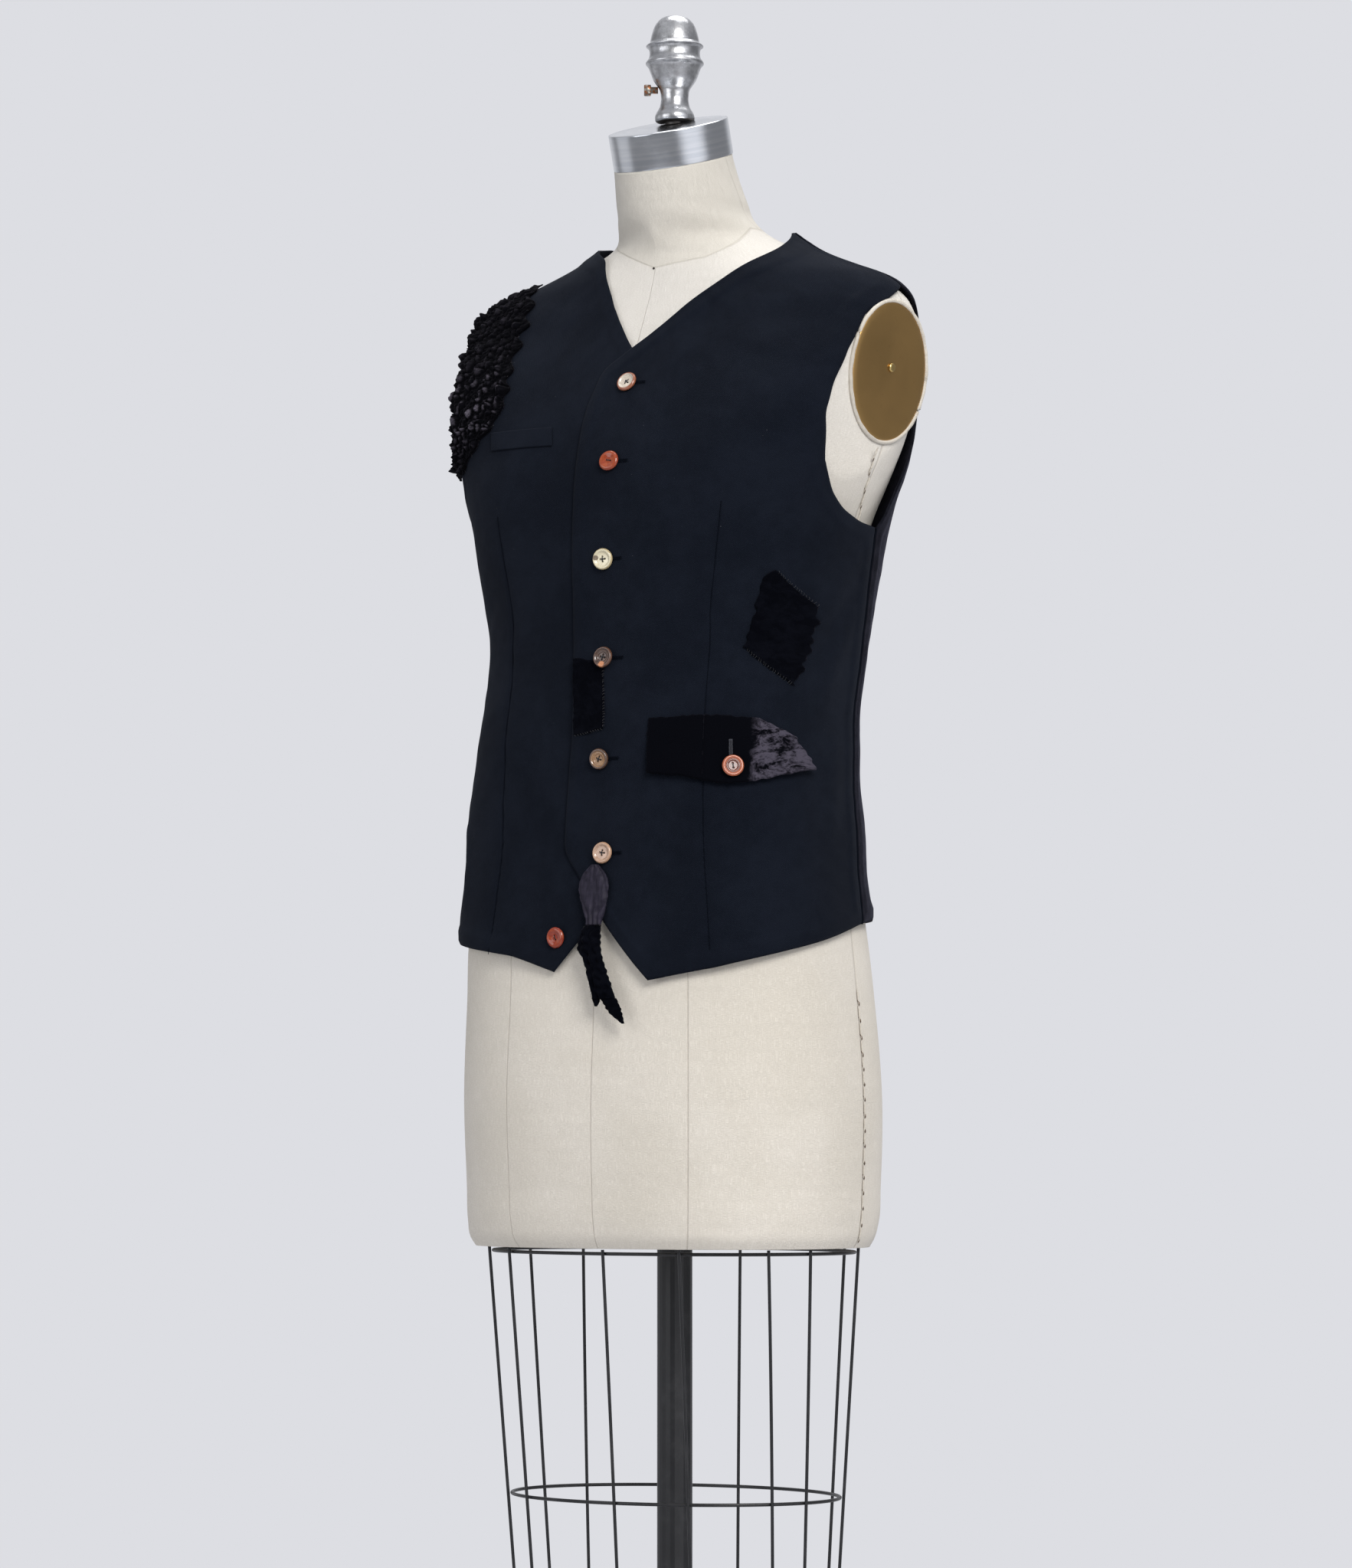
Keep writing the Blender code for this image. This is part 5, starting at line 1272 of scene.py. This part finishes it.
def hanging_piece(name, rows, look, folds, lumps, seed):
    """Ovals stacked down the ribbon, their front pushed out by folds and lumps.

    folds are the depth, half the number and the waviness of the pleats, and lumps are the
    height of the lumps and the share by which the half_width wavers.
    """
    levels, around = ((110, 90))
    table = sorted(rows)
    z = np.linspace(table[0][0], table[-1][0], levels)
    middle, half, stand_off, thickness = (c[:, None] for c in read_table(table, z).T)
    half = np.maximum(half, 0.0006)
    turn = np.linspace(0, 2 * np.pi, around, endpoint=False)[None]
    z = z[:, None]
    front = vest_point(0.0, np.maximum(z, 0.85))[..., 1] - LAP_LIFT
    ragged = 1 + lumps[1] * ripple(z + 0 * turn, np.sign(np.cos(turn)) * 0.1 + 0 * z, 0.004, seed)
    x = middle + half * ragged * np.sign(np.cos(turn)) * np.abs(np.cos(turn)) ** 0.8
    depth = thickness / 2 * np.sign(np.sin(turn)) * np.abs(np.sin(turn)) ** 0.7
    facing = np.clip(-np.sin(turn) + 0.15, 0, 1)
    spread = (x - middle) / np.maximum(half, 1e-4)
    pleat = folds[0] * np.abs(np.sin(np.pi * (spread * folds[1] + folds[2] * ripple(x, z, 0.02, seed + 1))))
    y = front - stand_off - thickness / 2 + depth
    y = y - facing * (pleat + lumps[0] * ripple(x * 1.3, z, 0.0065, seed + 2))
    points = np.stack([x, y, z + 0 * x], -1).reshape(-1, 3)
    ids, wrapped = closed_ids(levels, around)
    faces = cell_quads(wrapped).tolist() + end_caps(ids)
    piece = mesh_piece(name, points, faces, look, points[:, [0, 2]])
    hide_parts(name)
    return piece


def satin_look():
    """Soft purple-grey satin ribbon, its pile lying in long streaks."""
    look = Look("satin", Roughness=0.55, Sheen_Weight=0.05, Sheen_Roughness=0.3,
                Sheen_Tint=(0.75, 0.68, 0.9, 1), Specular_IOR_Level=0.12)
    flat, _, _ = look.uv()
    streak = look.noise(700.0, look.stretched(flat, (1, 0.12, 1)), 3.0, 0.6)
    tone = look.noise(160.0, flat, 2.0)
    light = (streak * 0.6 + tone * 0.4).step(0.35, 0.68)
    look.set(Base_Color=look.mix(light, (0.0110, 0.0098, 0.0175), (0.0260, 0.0225, 0.0370)))
    look.bump(streak, 0.00015, 0.6)
    return look.material


tie_satin = hanging_piece(
    "tie_satin", TIE_SATIN, satin_look(), (0.0016, 1.3, 0.40), (0.00025, 0.02), 61)
tie_velvet = hanging_piece(
    "tie_velvet", TIE_VELVET, VELVET_LOOK, (0.0010, 1.0, 0.5), (0.0010, 0.045), 64)
tail_left = hanging_piece(
    "tie_tail_left", TAIL_LEFT, VELVET_LOOK, (0.0003, 0.8, 0.3), (0.0002, 0.08), 67)
tail_right = hanging_piece(
    "tie_tail_right", TAIL_RIGHT, VELVET_LOOK, (0.0004, 0.8, 0.3), (0.0002, 0.06), 70)


def ragged_rim(rows, count, seed):
    """Roots and outward ways along both side edges of a hanging ribbon."""
    source = np.random.default_rng(seed)
    table = sorted(rows)
    z = source.uniform(table[0][0], table[-1][0], count)
    middle, half, stand_off, thickness = read_table(table, z).T
    way = source.choice([-1.0, 1.0], count)
    front = vest_point(0.0, np.maximum(z, 0.85))[..., 1] - LAP_LIFT
    roots = np.stack([middle + way * half, front - stand_off - thickness / 2, z], -1)
    outs = np.stack([way, -0.4 + 0 * way, source.uniform(-0.8, 0.2, count)], -1)
    return roots, outs / np.linalg.norm(outs, axis=1, keepdims=True)


tie_hairs = loose_threads(*ragged_rim(TIE_VELVET, 90, 73), 0.0020, 0.5, 74)
tie_hairs += loose_threads(*ragged_rim(TAIL_RIGHT, 30, 75), 0.0018, 0.5, 76)
tubes("tie_hairs", tie_hairs, 0.00006, HAIR, 4)

# ---- Dress form
# A papier-mache body under plain linen: cut level for the neck cap and flat for the arm
# plates, with fine machine seams and a hand-sewn seam down each side.
NECK_PLANE_POINT = np.array([0.0, -0.0017, 1.4809])
NECK_TILT = math.radians(18.5)
NECK_NORMAL = np.array([0.0, -math.sin(NECK_TILT), math.cos(NECK_TILT)])
PLATE_CENTRE = (0.1745, 0.0170, 1.3085)
PLATE_TURN = math.radians(13.0)
PLATE_LEAN = math.radians(7.5)
PLATE_HALF_WIDTH = 0.0415
PLATE_HALF_HEIGHT = 0.0520
SEAT = 0.0003
SIDE_SEAM = 88.8
# The rings stay level up to NECK_FOOT, and the plates cut the form only above ARM_FOOT.
NECK_FOOT = 1.41
ARM_FOOT = 1.2
BODY_SHARE = 0.86
FOOT_ROLL = (0.6555, 0.6563, 0.6575, 0.6600)
# Machine seams: an angle, then the heights between which it runs.
SEAMS = ((0.1, 0.60, 1.3950), (-34.6, 0.60, 1.3400), (34.0, 0.60, 1.3400), (180.0, 0.60, 1.5200))
# The seam round the foot of the neck: angle and height.
NECK_SEAM = (
    (-180, 1.4300), (-80, 1.4270), (-32.2, 1.4100), (-0.9, 1.3950), (33, 1.4010), (78.8, 1.4270),
    (180, 1.4300),
)


def plate_frame(side):
    """The axes of an arm plate: its normal points out, turned forwards and leaning down."""
    normal = Vector((side * math.cos(PLATE_TURN), -math.sin(PLATE_TURN), -math.tan(PLATE_LEAN)))
    normal.normalize()
    across = Vector((0, 0, 1)).cross(normal).normalized()
    up_way = normal.cross(across)
    centre = Vector((side * PLATE_CENTRE[0], PLATE_CENTRE[1], PLATE_CENTRE[2]))
    return Matrix.Translation(centre) @ Matrix((across, up_way, normal)).transposed().to_4x4()


def linen_look():
    """Unbleached linen: fine crossed yarns with slubs, faint creases, and sunk seams, with painted shade
    darkening their grooves.
    """
    look = Look("linen", Roughness=0.88, Sheen_Weight=0.12, Sheen_Roughness=0.5, Specular_IOR_Level=0.25)
    coords, u, v = look.uv()
    across = look.noise(1.0, look.stretched(coords, (90, 2600, 1)), 2.0)
    upright = look.noise(1.0, look.stretched(coords, (900, 110, 1)), 2.0)
    soil = look.noise(7.0, None, 3.0, 0.6)
    crease = look.noise(14.0, look.stretched(look.place(), (1, 1, 3.2)), 2.0, 0.5, 0.6)
    body = look.mix(soil.step(0.35, 0.70), (0.745, 0.700, 0.625), (0.680, 0.635, 0.555))
    # Lighter and whiter from 1.12 m up to 1.34 m.
    body = look.mix(v.step(1.12, 1.34) * 0.7, body, (0.770, 0.745, 0.700))
    neck = look.node("ShaderNodeAttribute", "Fac", attribute_name="neck")
    body = look.mix(neck.step(-0.0004, 0.0004), body, (0.715, 0.680, 0.610))
    yarns = (across * 0.5 + upright * 0.5).step(0.40, 0.60)
    tint = look.mix(0.22, body, look.mix(yarns, (0.50, 0.46, 0.40), (1.0, 1.0, 1.0)), "MULTIPLY")
    seam_groove_shade = neck.size().step(0.0011, 0.0002) * 0.55
    for angle, low, high in SEAMS:
        offset = (u - angle / 100).size().step(0.0030, 0.0004)
        seam_groove_shade = seam_groove_shade.larger(offset * v.step(high + 0.001, high) * 0.7)
    side_seam = (u.size() - SIDE_SEAM / 100).size().step(0.0060, 0.0010)
    seam_groove_shade = seam_groove_shade.larger(side_seam * 0.7)
    # Painted shade: the seam grooves are darkened brown as well as sunk by the bump.
    look.set(Base_Color=look.mix(seam_groove_shade * 0.42, tint, (0.30, 0.25, 0.19)))
    look.bump(yarns * 0.16 + crease * 1.2 - seam_groove_shade * 0.8, 0.0011, 0.8)
    return look.material


LINEN = linen_look()


def make_form():
    """FORM_RINGS in even columns, its top on the neck's plane and its sides on the plates'."""
    levels, around = ((280, 220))
    turn = np.linspace(-180, 180, around, endpoint=False)
    climb = np.linspace(NECK_FOOT, 1.515, 400)[:, None]
    reach = ring_point(FORM_RINGS, turn + 0 * climb, climb + 0 * turn)
    above = (reach - NECK_PLANE_POINT) @ NECK_NORMAL
    cut = climb[np.argmax(above > 0, 0), 0]
    sill = int(levels * BODY_SHARE)
    body = np.linspace(0.6550, NECK_FOOT, sill)
    body = np.sort(np.concatenate([body, FOOT_ROLL]))
    neck = NECK_FOOT + (cut - NECK_FOOT) * np.linspace(0, 1, levels - sill)[1:, None]
    z = np.concatenate([np.repeat(body[:, None], around, 1), neck])
    points = ring_point(FORM_RINGS, turn + 0 * z, z)
    crown = points[-1:] * 1.0
    for share in (0.97, 0.6):
        ring = NECK_PLANE_POINT + (points[-1:] - NECK_PLANE_POINT) * share
        crown = np.concatenate([crown, ring])
    z = np.concatenate([z, z[-1:], z[-1:]])
    points = np.concatenate([points[:-1], crown])
    for side in (1, -1):
        place = plate_frame(side)
        normal = np.array(place.to_3x3())[:, 2]
        beyond = np.maximum((points - np.array(place.translation)) @ normal + SEAT, 0) * (z > ARM_FOOT)
        points = points - beyond[..., None] * normal
    rows = len(points)
    ids, wrapped = closed_ids(rows, around)
    faces = cell_quads(wrapped).tolist() + end_caps(ids)
    if signed_volume(points.reshape(-1, 3), cell_quads(wrapped)) < 0:
        faces = [face[::-1] for face in faces]
    flat = np.stack([turn / 100 + 0 * z, z], -1).reshape(-1, 2)
    piece = mesh_piece("torso", points.reshape(-1, 3), faces, LINEN, flat)
    # The last column of quads ends at 180 degrees, and not at the first column's -180.
    corner = np.empty(len(piece.data.loops), int)
    piece.data.loops.foreach_get("vertex_index", corner)
    last_column = np.repeat(np.arange(len(faces)) % around == around - 1, [len(face) for face in faces])
    last_column &= np.arange(len(corner)) < 4 * (rows - 1) * around
    spot = flat[corner]
    spot[last_column & (corner % around == 0), 0] = 1.80
    piece.data.uv_layers["flat"].data.foreach_set("uv", spot.astype(np.float32).ravel())
    seam = np.interp(turn, *np.array(NECK_SEAM).T)
    attribute = piece.data.attributes.new("neck", "FLOAT", "POINT")
    attribute.data.foreach_set("value", (z - seam).ravel().astype(np.float32))
    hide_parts("torso")
    return piece


def form_run(angles, heights, lift=0.0):
    """A run of points on the form, lifted outwards."""
    spots = ring_point(FORM_RINGS, np.asarray(angles, float), np.asarray(heights, float))
    middle = np.array([0.0, 0.02, 0.0])
    out = (spots - middle) * [1, 1, 0]
    out = out / np.linalg.norm(out, axis=-1, keepdims=True)
    return spots + np.asarray(lift)[..., None] * out


def side_stitches(side):
    """Hand stitches down a side, each a bulge of sin(pi t), with a brown tick where two meet."""
    source = np.random.default_rng(80 + side)
    bulges, ticks = [], []
    # Below the hem, and in the armhole, where the seam leans forwards on its way up.
    for low, high in ((0.6600, 0.8420), (1.1950, 1.2480)):
        z = low
        while z < high:
            length = source.uniform(0.0100, 0.0128)
            t = np.linspace(0, 1, 15)
            middle = SIDE_SEAM if high < 1 else 90.5 - 5.5 * (z - 1.1950) / 0.053
            drift = middle - 0.15 + 0.35 * np.sin(2 * np.pi * t + source.uniform(0, 6)) * (0.5 - t)
            arch = np.sin(np.pi * t)
            bulges.append(form_run(side * drift, z + 0.94 * length * t, 0.0002 + 0.0007 * arch**0.5))
            slant = middle + 0.9 * (t - 0.4)
            ticks.append(form_run(side * slant, z + 0.0042 * (0.8 - t), 0.0003 + 0.0007 * arch))
            z += length
    return bulges, ticks


RIM_OUT = 0.0011


def plate_rim(side):
    """The padded edge that hugs an arm plate: an ellipse on the cut."""
    place = np.array(plate_frame(side))
    sweep = np.linspace(0, 2 * np.pi, 120, endpoint=False)
    half = np.array([PLATE_HALF_WIDTH, PLATE_HALF_HEIGHT]) + RIM_OUT
    flat = half * np.stack([np.cos(sweep), np.sin(sweep)], -1)
    swell = 0.0006 + 0.0002 * np.sin(9 * sweep + side) + 0.0002 * np.sin(23 * sweep)
    return place[:3, 3] + flat @ place[:3, :2].T + swell[:, None] * place[:3, 2]


make_form()
bulges, ticks = (one + other for one, other in zip(side_stitches(1), side_stitches(-1)))
tubes("side_stitches", bulges, 0.00075, LINEN, 8, taper=0.7)
BROWN_THREAD = thread_look("brown_thread", (0.16, 0.10, 0.06))
tubes("seam_ticks", ticks, 0.00045, BROWN_THREAD, 6, taper=0.5)
tubes("plate_rims", [plate_rim(1), plate_rim(-1)], 0.0016, LINEN, 12, closed=True)
neck_dot = form_run([-0.9], [1.3946], 0.0002)[0]
dot_look = Look("seam_dot", Base_Color=(0.02, 0.015, 0.012, 1), Roughness=0.8).material
tubes("neck_dot", [neck_dot + np.array([[0, 0.0010, 0], [0, -0.0004, 0]])], 0.0009, dot_look, 10)

# ---- Fixtures
# The spun aluminium neck cap, the cast finial with its set screw, and the brass arm plates.


def lathe(name, profile, look, place, cut=None, squash=(1, 1, 1), fine=6):
    """A profile of radius and height from the top down, on Catmull-Rom curves, turned.

    p(s) = (2b + (c - a) s + (2a - 5b + 4c - d) s^2 + (3b - a - 3c + d) s^3) / 2 from b to c.
    Points below the neck's plane through cut are lifted on to it.
    """
    knots = np.array(profile, float)
    if fine > 1:
        t = np.linspace(0, len(knots) - 1, (len(knots) - 1) * fine + 1)
        ghost = np.concatenate([2 * knots[:1] - knots[1:2], knots, 2 * knots[-1:] - knots[-2:-1]])
        low = np.clip(t.astype(int), 0, len(knots) - 2)
        s = (t - low)[:, None]
        a, b, c, d = (ghost[low + k] for k in range(4))
        knots = 2 * b + (c - a) * s + (2 * a - 5 * b + 4 * c - d) * s**2
        knots = 0.5 * (knots + (3 * b - a - 3 * c + d) * s**3)
    knots = np.concatenate([knots, [[0.0004, knots[-1, 1]]]])
    knots = np.concatenate([[[0.0004, knots[0, 1]]], knots])
    spokes = 128
    sweep = np.linspace(0, 2 * np.pi, spokes, endpoint=False) + np.pi / 2
    radius, height = knots[:, :1], knots[:, 1:] + 0 * sweep
    local = np.stack([radius * np.cos(sweep), radius * np.sin(sweep), height], -1) * squash
    world = moved(local.reshape(-1, 3), place)
    if cut is not None:
        beyond = np.maximum((cut - world) @ NECK_NORMAL, 0)
        world = world + beyond[:, None] * NECK_NORMAL
    ids, wrapped = closed_ids(len(knots), spokes)
    quads = cell_quads(wrapped)
    faces = quads.tolist() + end_caps(ids)
    if signed_volume(world, quads) < 0:
        faces = [face[::-1] for face in faces]
    arc = np.concatenate([[0], np.cumsum(np.linalg.norm(np.diff(knots, axis=0), axis=1))])
    flat = np.stack([0.03 * (sweep - np.pi / 2) + 0 * arc[:, None], arc[:, None] + 0 * sweep], -1)
    piece = mesh_piece(name, world, faces, look, flat.reshape(-1, 2))
    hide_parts(name)


def aluminium_look():
    """Spun aluminium: fine rings of scratches, a few dull bands and finger marks."""
    look = Look("spun_aluminium", Metallic=1.0, Anisotropic=0.5)
    coords, _, _ = look.uv()
    rings = look.noise(1.0, look.stretched(coords, (12, 5200, 1)), 3.0, 0.6)
    bands = look.noise(1.0, look.stretched(coords, (9, 260, 1)), 2.0)
    marks = look.noise(60.0, None, 3.0, 0.6)
    look.set(Base_Color=look.mix(bands.step(0.30, 0.70), (0.60, 0.625, 0.66), (0.70, 0.715, 0.74)))
    look.set(Roughness=0.12 + rings * 0.10 + marks.step(0.5, 0.75) * 0.06)
    look.bump(rings * 0.5 + bands * 0.5, 0.00003, 0.5)
    return look.material


def cast_look():
    """Cast metal gone dull: grime in the grooves, pits, and bright worn ridges."""
    look = Look("cast_metal", Metallic=1.0)
    ao = look.node("ShaderNodeAmbientOcclusion", "AO", {"Distance": 0.006})
    mottle = look.noise(260.0, None, 5.0, 0.65)
    broad = look.noise(70.0, None, 3.0, 0.6)
    pits = look.cells(420.0).step(0.16, 0.05) * mottle.step(0.45, 0.60)
    grime = (1.0 - ao).step(0.10, 0.50) * (0.4 + broad * 0.9)
    bare = look.mix(broad.step(0.35, 0.65), (0.50, 0.51, 0.53), (0.68, 0.69, 0.70))
    dull = look.mix(mottle.step(0.35, 0.70), bare, (0.42, 0.42, 0.43))
    look.set(Base_Color=look.mix((grime + pits * 0.5).step(0.0, 1.0), dull, (0.055, 0.047, 0.040)))
    look.set(Roughness=0.22 + mottle * 0.14 + grime * 0.3)
    look.bump(mottle * 0.6 + broad * 0.8 - pits * 0.7, 0.0004, 0.6)
    return look.material


def brass_look():
    """Matt lacquered brass, browned in soft clouds."""
    look = Look("matt_brass", Metallic=0.95)
    clouds = look.noise(16.0, None, 3.0, 0.5, 0.3)
    fine = look.noise(900.0, None, 3.0, 0.6)
    specks = look.noise(240.0, None, 3.0, 0.7).step(0.62, 0.72)
    tone = look.mix(clouds.step(0.30, 0.75), (0.47, 0.292, 0.110), (0.360, 0.225, 0.086))
    look.set(Base_Color=look.mix(specks * 0.15, tone, (0.16, 0.10, 0.045)))
    look.set(Roughness=0.32 + clouds * 0.06)
    look.bump(fine, 0.00005, 0.4)
    return look.material


def rust_look():
    """A small brass head with orange rust where it meets the finial."""
    look = Look("rusty_brass", Metallic=0.8, Roughness=0.42)
    patches = look.noise(420.0, None, 3.0, 0.6)
    look.set(Base_Color=look.mix(patches.step(0.48, 0.60), (0.24, 0.22, 0.19), (0.30, 0.10, 0.03)))
    look.bump(patches, 0.0002, 0.6)
    return look.material


BRASS = brass_look()
# Profiles: radius and height, from the top down.
CAP_PROFILE = (
    (0.0200, 0.02800), (0.0380, 0.02795), (0.0438, 0.02785), (0.0450, 0.02765), (0.0458, 0.02715),
    (0.0462, 0.02620), (0.0462, 0.0140), (0.0462, 0.0012), (0.0460, 0.0),
)
upright = Vector(NECK_NORMAL).to_track_quat("Z", "Y").to_matrix().to_4x4()
cap_place = Matrix.Translation(Vector(NECK_PLANE_POINT + NECK_NORMAL * SEAT)) @ upright
cap_place = cap_place @ Matrix.Diagonal((1, 1, 0.0278 / 0.0280, 1))
lathe("neck_cap", CAP_PROFILE, aluminium_look(), cap_place, fine=5)
FINIAL_PROFILE = (
    (0.0045, 1.5941), (0.0100, 1.5923), (0.0144, 1.5879), (0.0170, 1.5819), (0.0185, 1.5760),
    (0.0192, 1.5730), (0.0220, 1.5706), (0.0200, 1.5686), (0.0193, 1.5653), (0.0200, 1.5611),
    (0.0223, 1.5573), (0.0202, 1.5543), (0.0185, 1.5498), (0.0164, 1.5445), (0.0138, 1.5406),
    (0.0114, 1.5368), (0.0107, 1.5321), (0.0106, 1.5284), (0.0117, 1.5231), (0.0141, 1.5190),
    (0.0152, 1.5155), (0.0141, 1.5122), (0.0070, 1.5112), (0.0070, 1.5010),
)
finial_foot = NECK_PLANE_POINT + NECK_NORMAL * 0.0284
lathe("finial", FINIAL_PROFILE, cast_look(), Matrix.Identity(4), finial_foot, fine=5)
SCREW_TURN = math.radians(-150.0)
screw_way = Vector((math.cos(SCREW_TURN), math.sin(SCREW_TURN), 0))
screw_place = Matrix.Translation((0, 0, 1.5367)) @ screw_way.to_track_quat("Z", "Y").to_matrix().to_4x4()
SCREW_PROFILE = (
    (0.0038, 0.0235), (0.0044, 0.0231), (0.0044, 0.0186), (0.0040, 0.0183), (0.0026, 0.0180),
    (0.0026, 0.0128),
)
lathe("set_screw", SCREW_PROFILE, rust_look(), screw_place, fine=1)
PLATE_PROFILE = (
    (0.0050, 0.00300), (0.0200, 0.00298), (0.0320, 0.00285), (0.0400, 0.00260), (0.0460, 0.00225),
    (0.0490, 0.00185), (0.0510, 0.00140), (0.0520, 0.00080), (0.0520, 0.0),
)
PIN_PROFILE = ((0.0012, 0.00160), (0.0022, 0.00155), (0.0030, 0.00120), (0.0034, 0.0006), (0.0034, 0.0))
pin_look = Look("pin_brass", Metallic=1.0, Roughness=0.22, Base_Color=(0.62, 0.45, 0.18, 1)).material
for side, side_name in ((1, "left"), (-1, "right")):
    squash = (PLATE_HALF_WIDTH / PLATE_HALF_HEIGHT, 1, 1)
    lathe("arm_plate_" + side_name, PLATE_PROFILE, BRASS, plate_frame(side), squash=squash)
    pin_place = plate_frame(side) @ Matrix.Translation((0, 0.003, 0.0033))
    lathe("plate_pin_" + side_name, PIN_PROFILE, pin_look, pin_place, fine=3)

# ---- Cage and stand
# Wires round two ellipses with hoops inside them, and the painted pole, hub and legs, which
# keep their CAD shape.
# The cage's ellipses: height, half_width, centre_y and reach.
CAGE_TOP = (0.6542, 0.1490, -0.0035, 0.1045)
CAGE_FOOT = (0.2800, 0.1180, 0.0040, 0.0960)
HOOP_INWARDS = 0.0029
HOOP_HEIGHTS = (("cage_hoop_top", 0.6512), ("cage_hoop_middle", 0.4687), ("cage_hoop_foot", 0.2850))
# The angle of each wire at its top and at its foot.
WIRE_ANGLES = (
    (0.4, 5.1), (24.0, 31.8), (52.4, 63.2), (68.8, 77.8), (114.7, 114.7), (133.0, 133.0),
    (180.0, 181.4), (231.9, 240.2), (254.3, 257.8), (295.0, 295.0), (320.5, 324.3),
)


def cage_point(angle, height, inwards=0.0):
    """A point of the cage's wires, which stand on a tapering ellipse."""
    share = (height - CAGE_FOOT[0]) / (CAGE_TOP[0] - CAGE_FOOT[0])
    half, centre, reach = (f + (t - f) * share for f, t in zip(CAGE_FOOT[1:], CAGE_TOP[1:]))
    turn = np.radians(angle)
    normal = np.array([np.sin(turn) / half, -np.cos(turn) / reach])
    normal /= np.linalg.norm(normal, axis=0)
    x = half * np.sin(turn) - inwards * normal[0]
    y = centre - reach * np.cos(turn) - inwards * normal[1]
    return np.stack([x, y, height + 0 * x], -1)


def paint_look():
    """Old black enamel on iron, dusty and slightly orange-peeled."""
    look = Look("black_enamel", Specular_IOR_Level=0.5)
    peel = look.noise(380.0, None, 2.0)
    dust = look.noise(45.0, None, 4.0, 0.65)
    look.set(Base_Color=look.mix(dust.step(0.45, 0.75), (0.0045, 0.0048, 0.0062), (0.016, 0.016, 0.018)))
    look.set(Roughness=0.26 + dust * 0.25)
    look.bump(peel, 0.0002, 0.3)
    return look.material


ENAMEL = paint_look()
for name, height in HOOP_HEIGHTS:
    sweep = np.linspace(0, 360, 160, endpoint=False)
    hoop = tubes(name, [cage_point(sweep, height, HOOP_INWARDS)], 0.0013, ENAMEL, 12, closed=True)
    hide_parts(name)
for number, (top_angle, foot_angle) in enumerate(WIRE_ANGLES, start=1):
    share = np.linspace(0, 1, 40)
    angles = top_angle + (foot_angle - top_angle) * share
    heights = CAGE_TOP[0] + (CAGE_FOOT[0] - CAGE_TOP[0]) * share
    wire = tubes(f"cage_wire_{number:02d}", [cage_point(angles, heights)], 0.0012, ENAMEL, 12)
    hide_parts(f"cage_wire_{number:02d}")
for name in ("pole", "base_hub", "base_leg_1", "base_leg_2", "base_leg_3", "base_leg_4"):
    for slot in bpy.data.objects[name].material_slots:
        slot.material = ENAMEL

# ---- Studio
# A pale disc of floor, a soft key from the upper right, a wide fill, a light above, and a
# room with lighter and darker sides for the metals to mirror.
disc = bpy.data.meshes.new("floor")
ring = [(3.0 * math.cos(t), 3.0 * math.sin(t), 0.0) for t in np.linspace(0, 2 * np.pi, 97)[:-1]]
disc.from_pydata(ring, [], [list(range(96))])
disc.materials.append(Look("floor_paper", Base_Color=(0.56, 0.565, 0.59, 1), Roughness=0.9).material)
floor = bpy.data.objects.new("floor", disc)
bpy.context.scene.collection.objects.link(floor)


def soft_light(name, spot, aim, size, watts, colour=(1, 1, 1)):
    """A square area light that looks at a point."""
    data = bpy.data.lights.new(name, "AREA")
    data.size = size
    data.energy = watts
    data.color = colour
    light = bpy.data.objects.new(name, data)
    bpy.context.scene.collection.objects.link(light)
    light.location = spot
    light.rotation_euler = (Vector(aim) - Vector(spot)).to_track_quat("-Z", "Y").to_euler()


soft_light("key", (2.6, -2.2, 3.0), (0, 0, 1.1), 1.6, 112, (1.0, 0.985, 0.96))
soft_light("fill", (-1.6, -3.6, 1.8), (0, 0, 1.0), 2.4, 40, (0.96, 0.97, 1.0))
soft_light("top", (0.0, 0.6, 3.4), (0, 0, 1.3), 1.5, 24)


def build_world():
    """A pale backdrop; the room that lights and mirrors in the object is paler to some sides."""
    world = bpy.data.worlds.new("studio")
    world.use_nodes = True
    tree = world.node_tree
    way = Value(tree, tree.nodes.new("ShaderNodeTexCoord").outputs["Generated"])

    def lobe(direction, low, high):
        """1 round a direction and 0 away from it; low and high are cosines."""
        node = tree.nodes.new("ShaderNodeVectorMath")
        node.operation = "DOT_PRODUCT"
        connect(tree, way, node.inputs[0])
        node.inputs[1].default_value = direction
        return Value(tree, node.outputs["Value"]).step(low, high)

    room = lobe((0.93, -0.35, 0.12), 0.80, 0.95) * 1.1 + lobe((-0.5, 0.866, 0.0), 0.60, 0.95) * 0.6
    room = room + lobe((0, 0, 1), 0.30, 0.90) * 0.5 + lobe((-0.95, -0.30, 0.0), 0.90, 0.97) * 0.5 + 0.36
    seen = Value(tree, tree.nodes.new("ShaderNodeLightPath").outputs["Is Camera Ray"])
    strength = seen + (1.0 - seen) * room
    backdrop = tree.nodes["Background"]
    backdrop.inputs["Color"].default_value = (0.723, 0.730, 0.768, 1)
    connect(tree, strength, backdrop.inputs["Strength"])
    return world


bpy.context.scene.world = build_world()
bpy.context.scene.view_settings.view_transform = "Standard"

camera_data = bpy.data.cameras.new("camera")
# The photograph's focal length and height in pixels, on a sensor of 36 mm.
camera_data.lens = 6500 * 36 / 2047
camera_data.sensor_fit = "AUTO"
camera_data.sensor_width = 36
camera = bpy.data.objects.new("camera", camera_data)
bpy.context.scene.collection.objects.link(camera)
camera.location = (1.8858, -3.2644, 0.745)
camera.rotation_euler = (math.radians(93.93), 0, math.radians(30))
bpy.context.scene.camera = camera
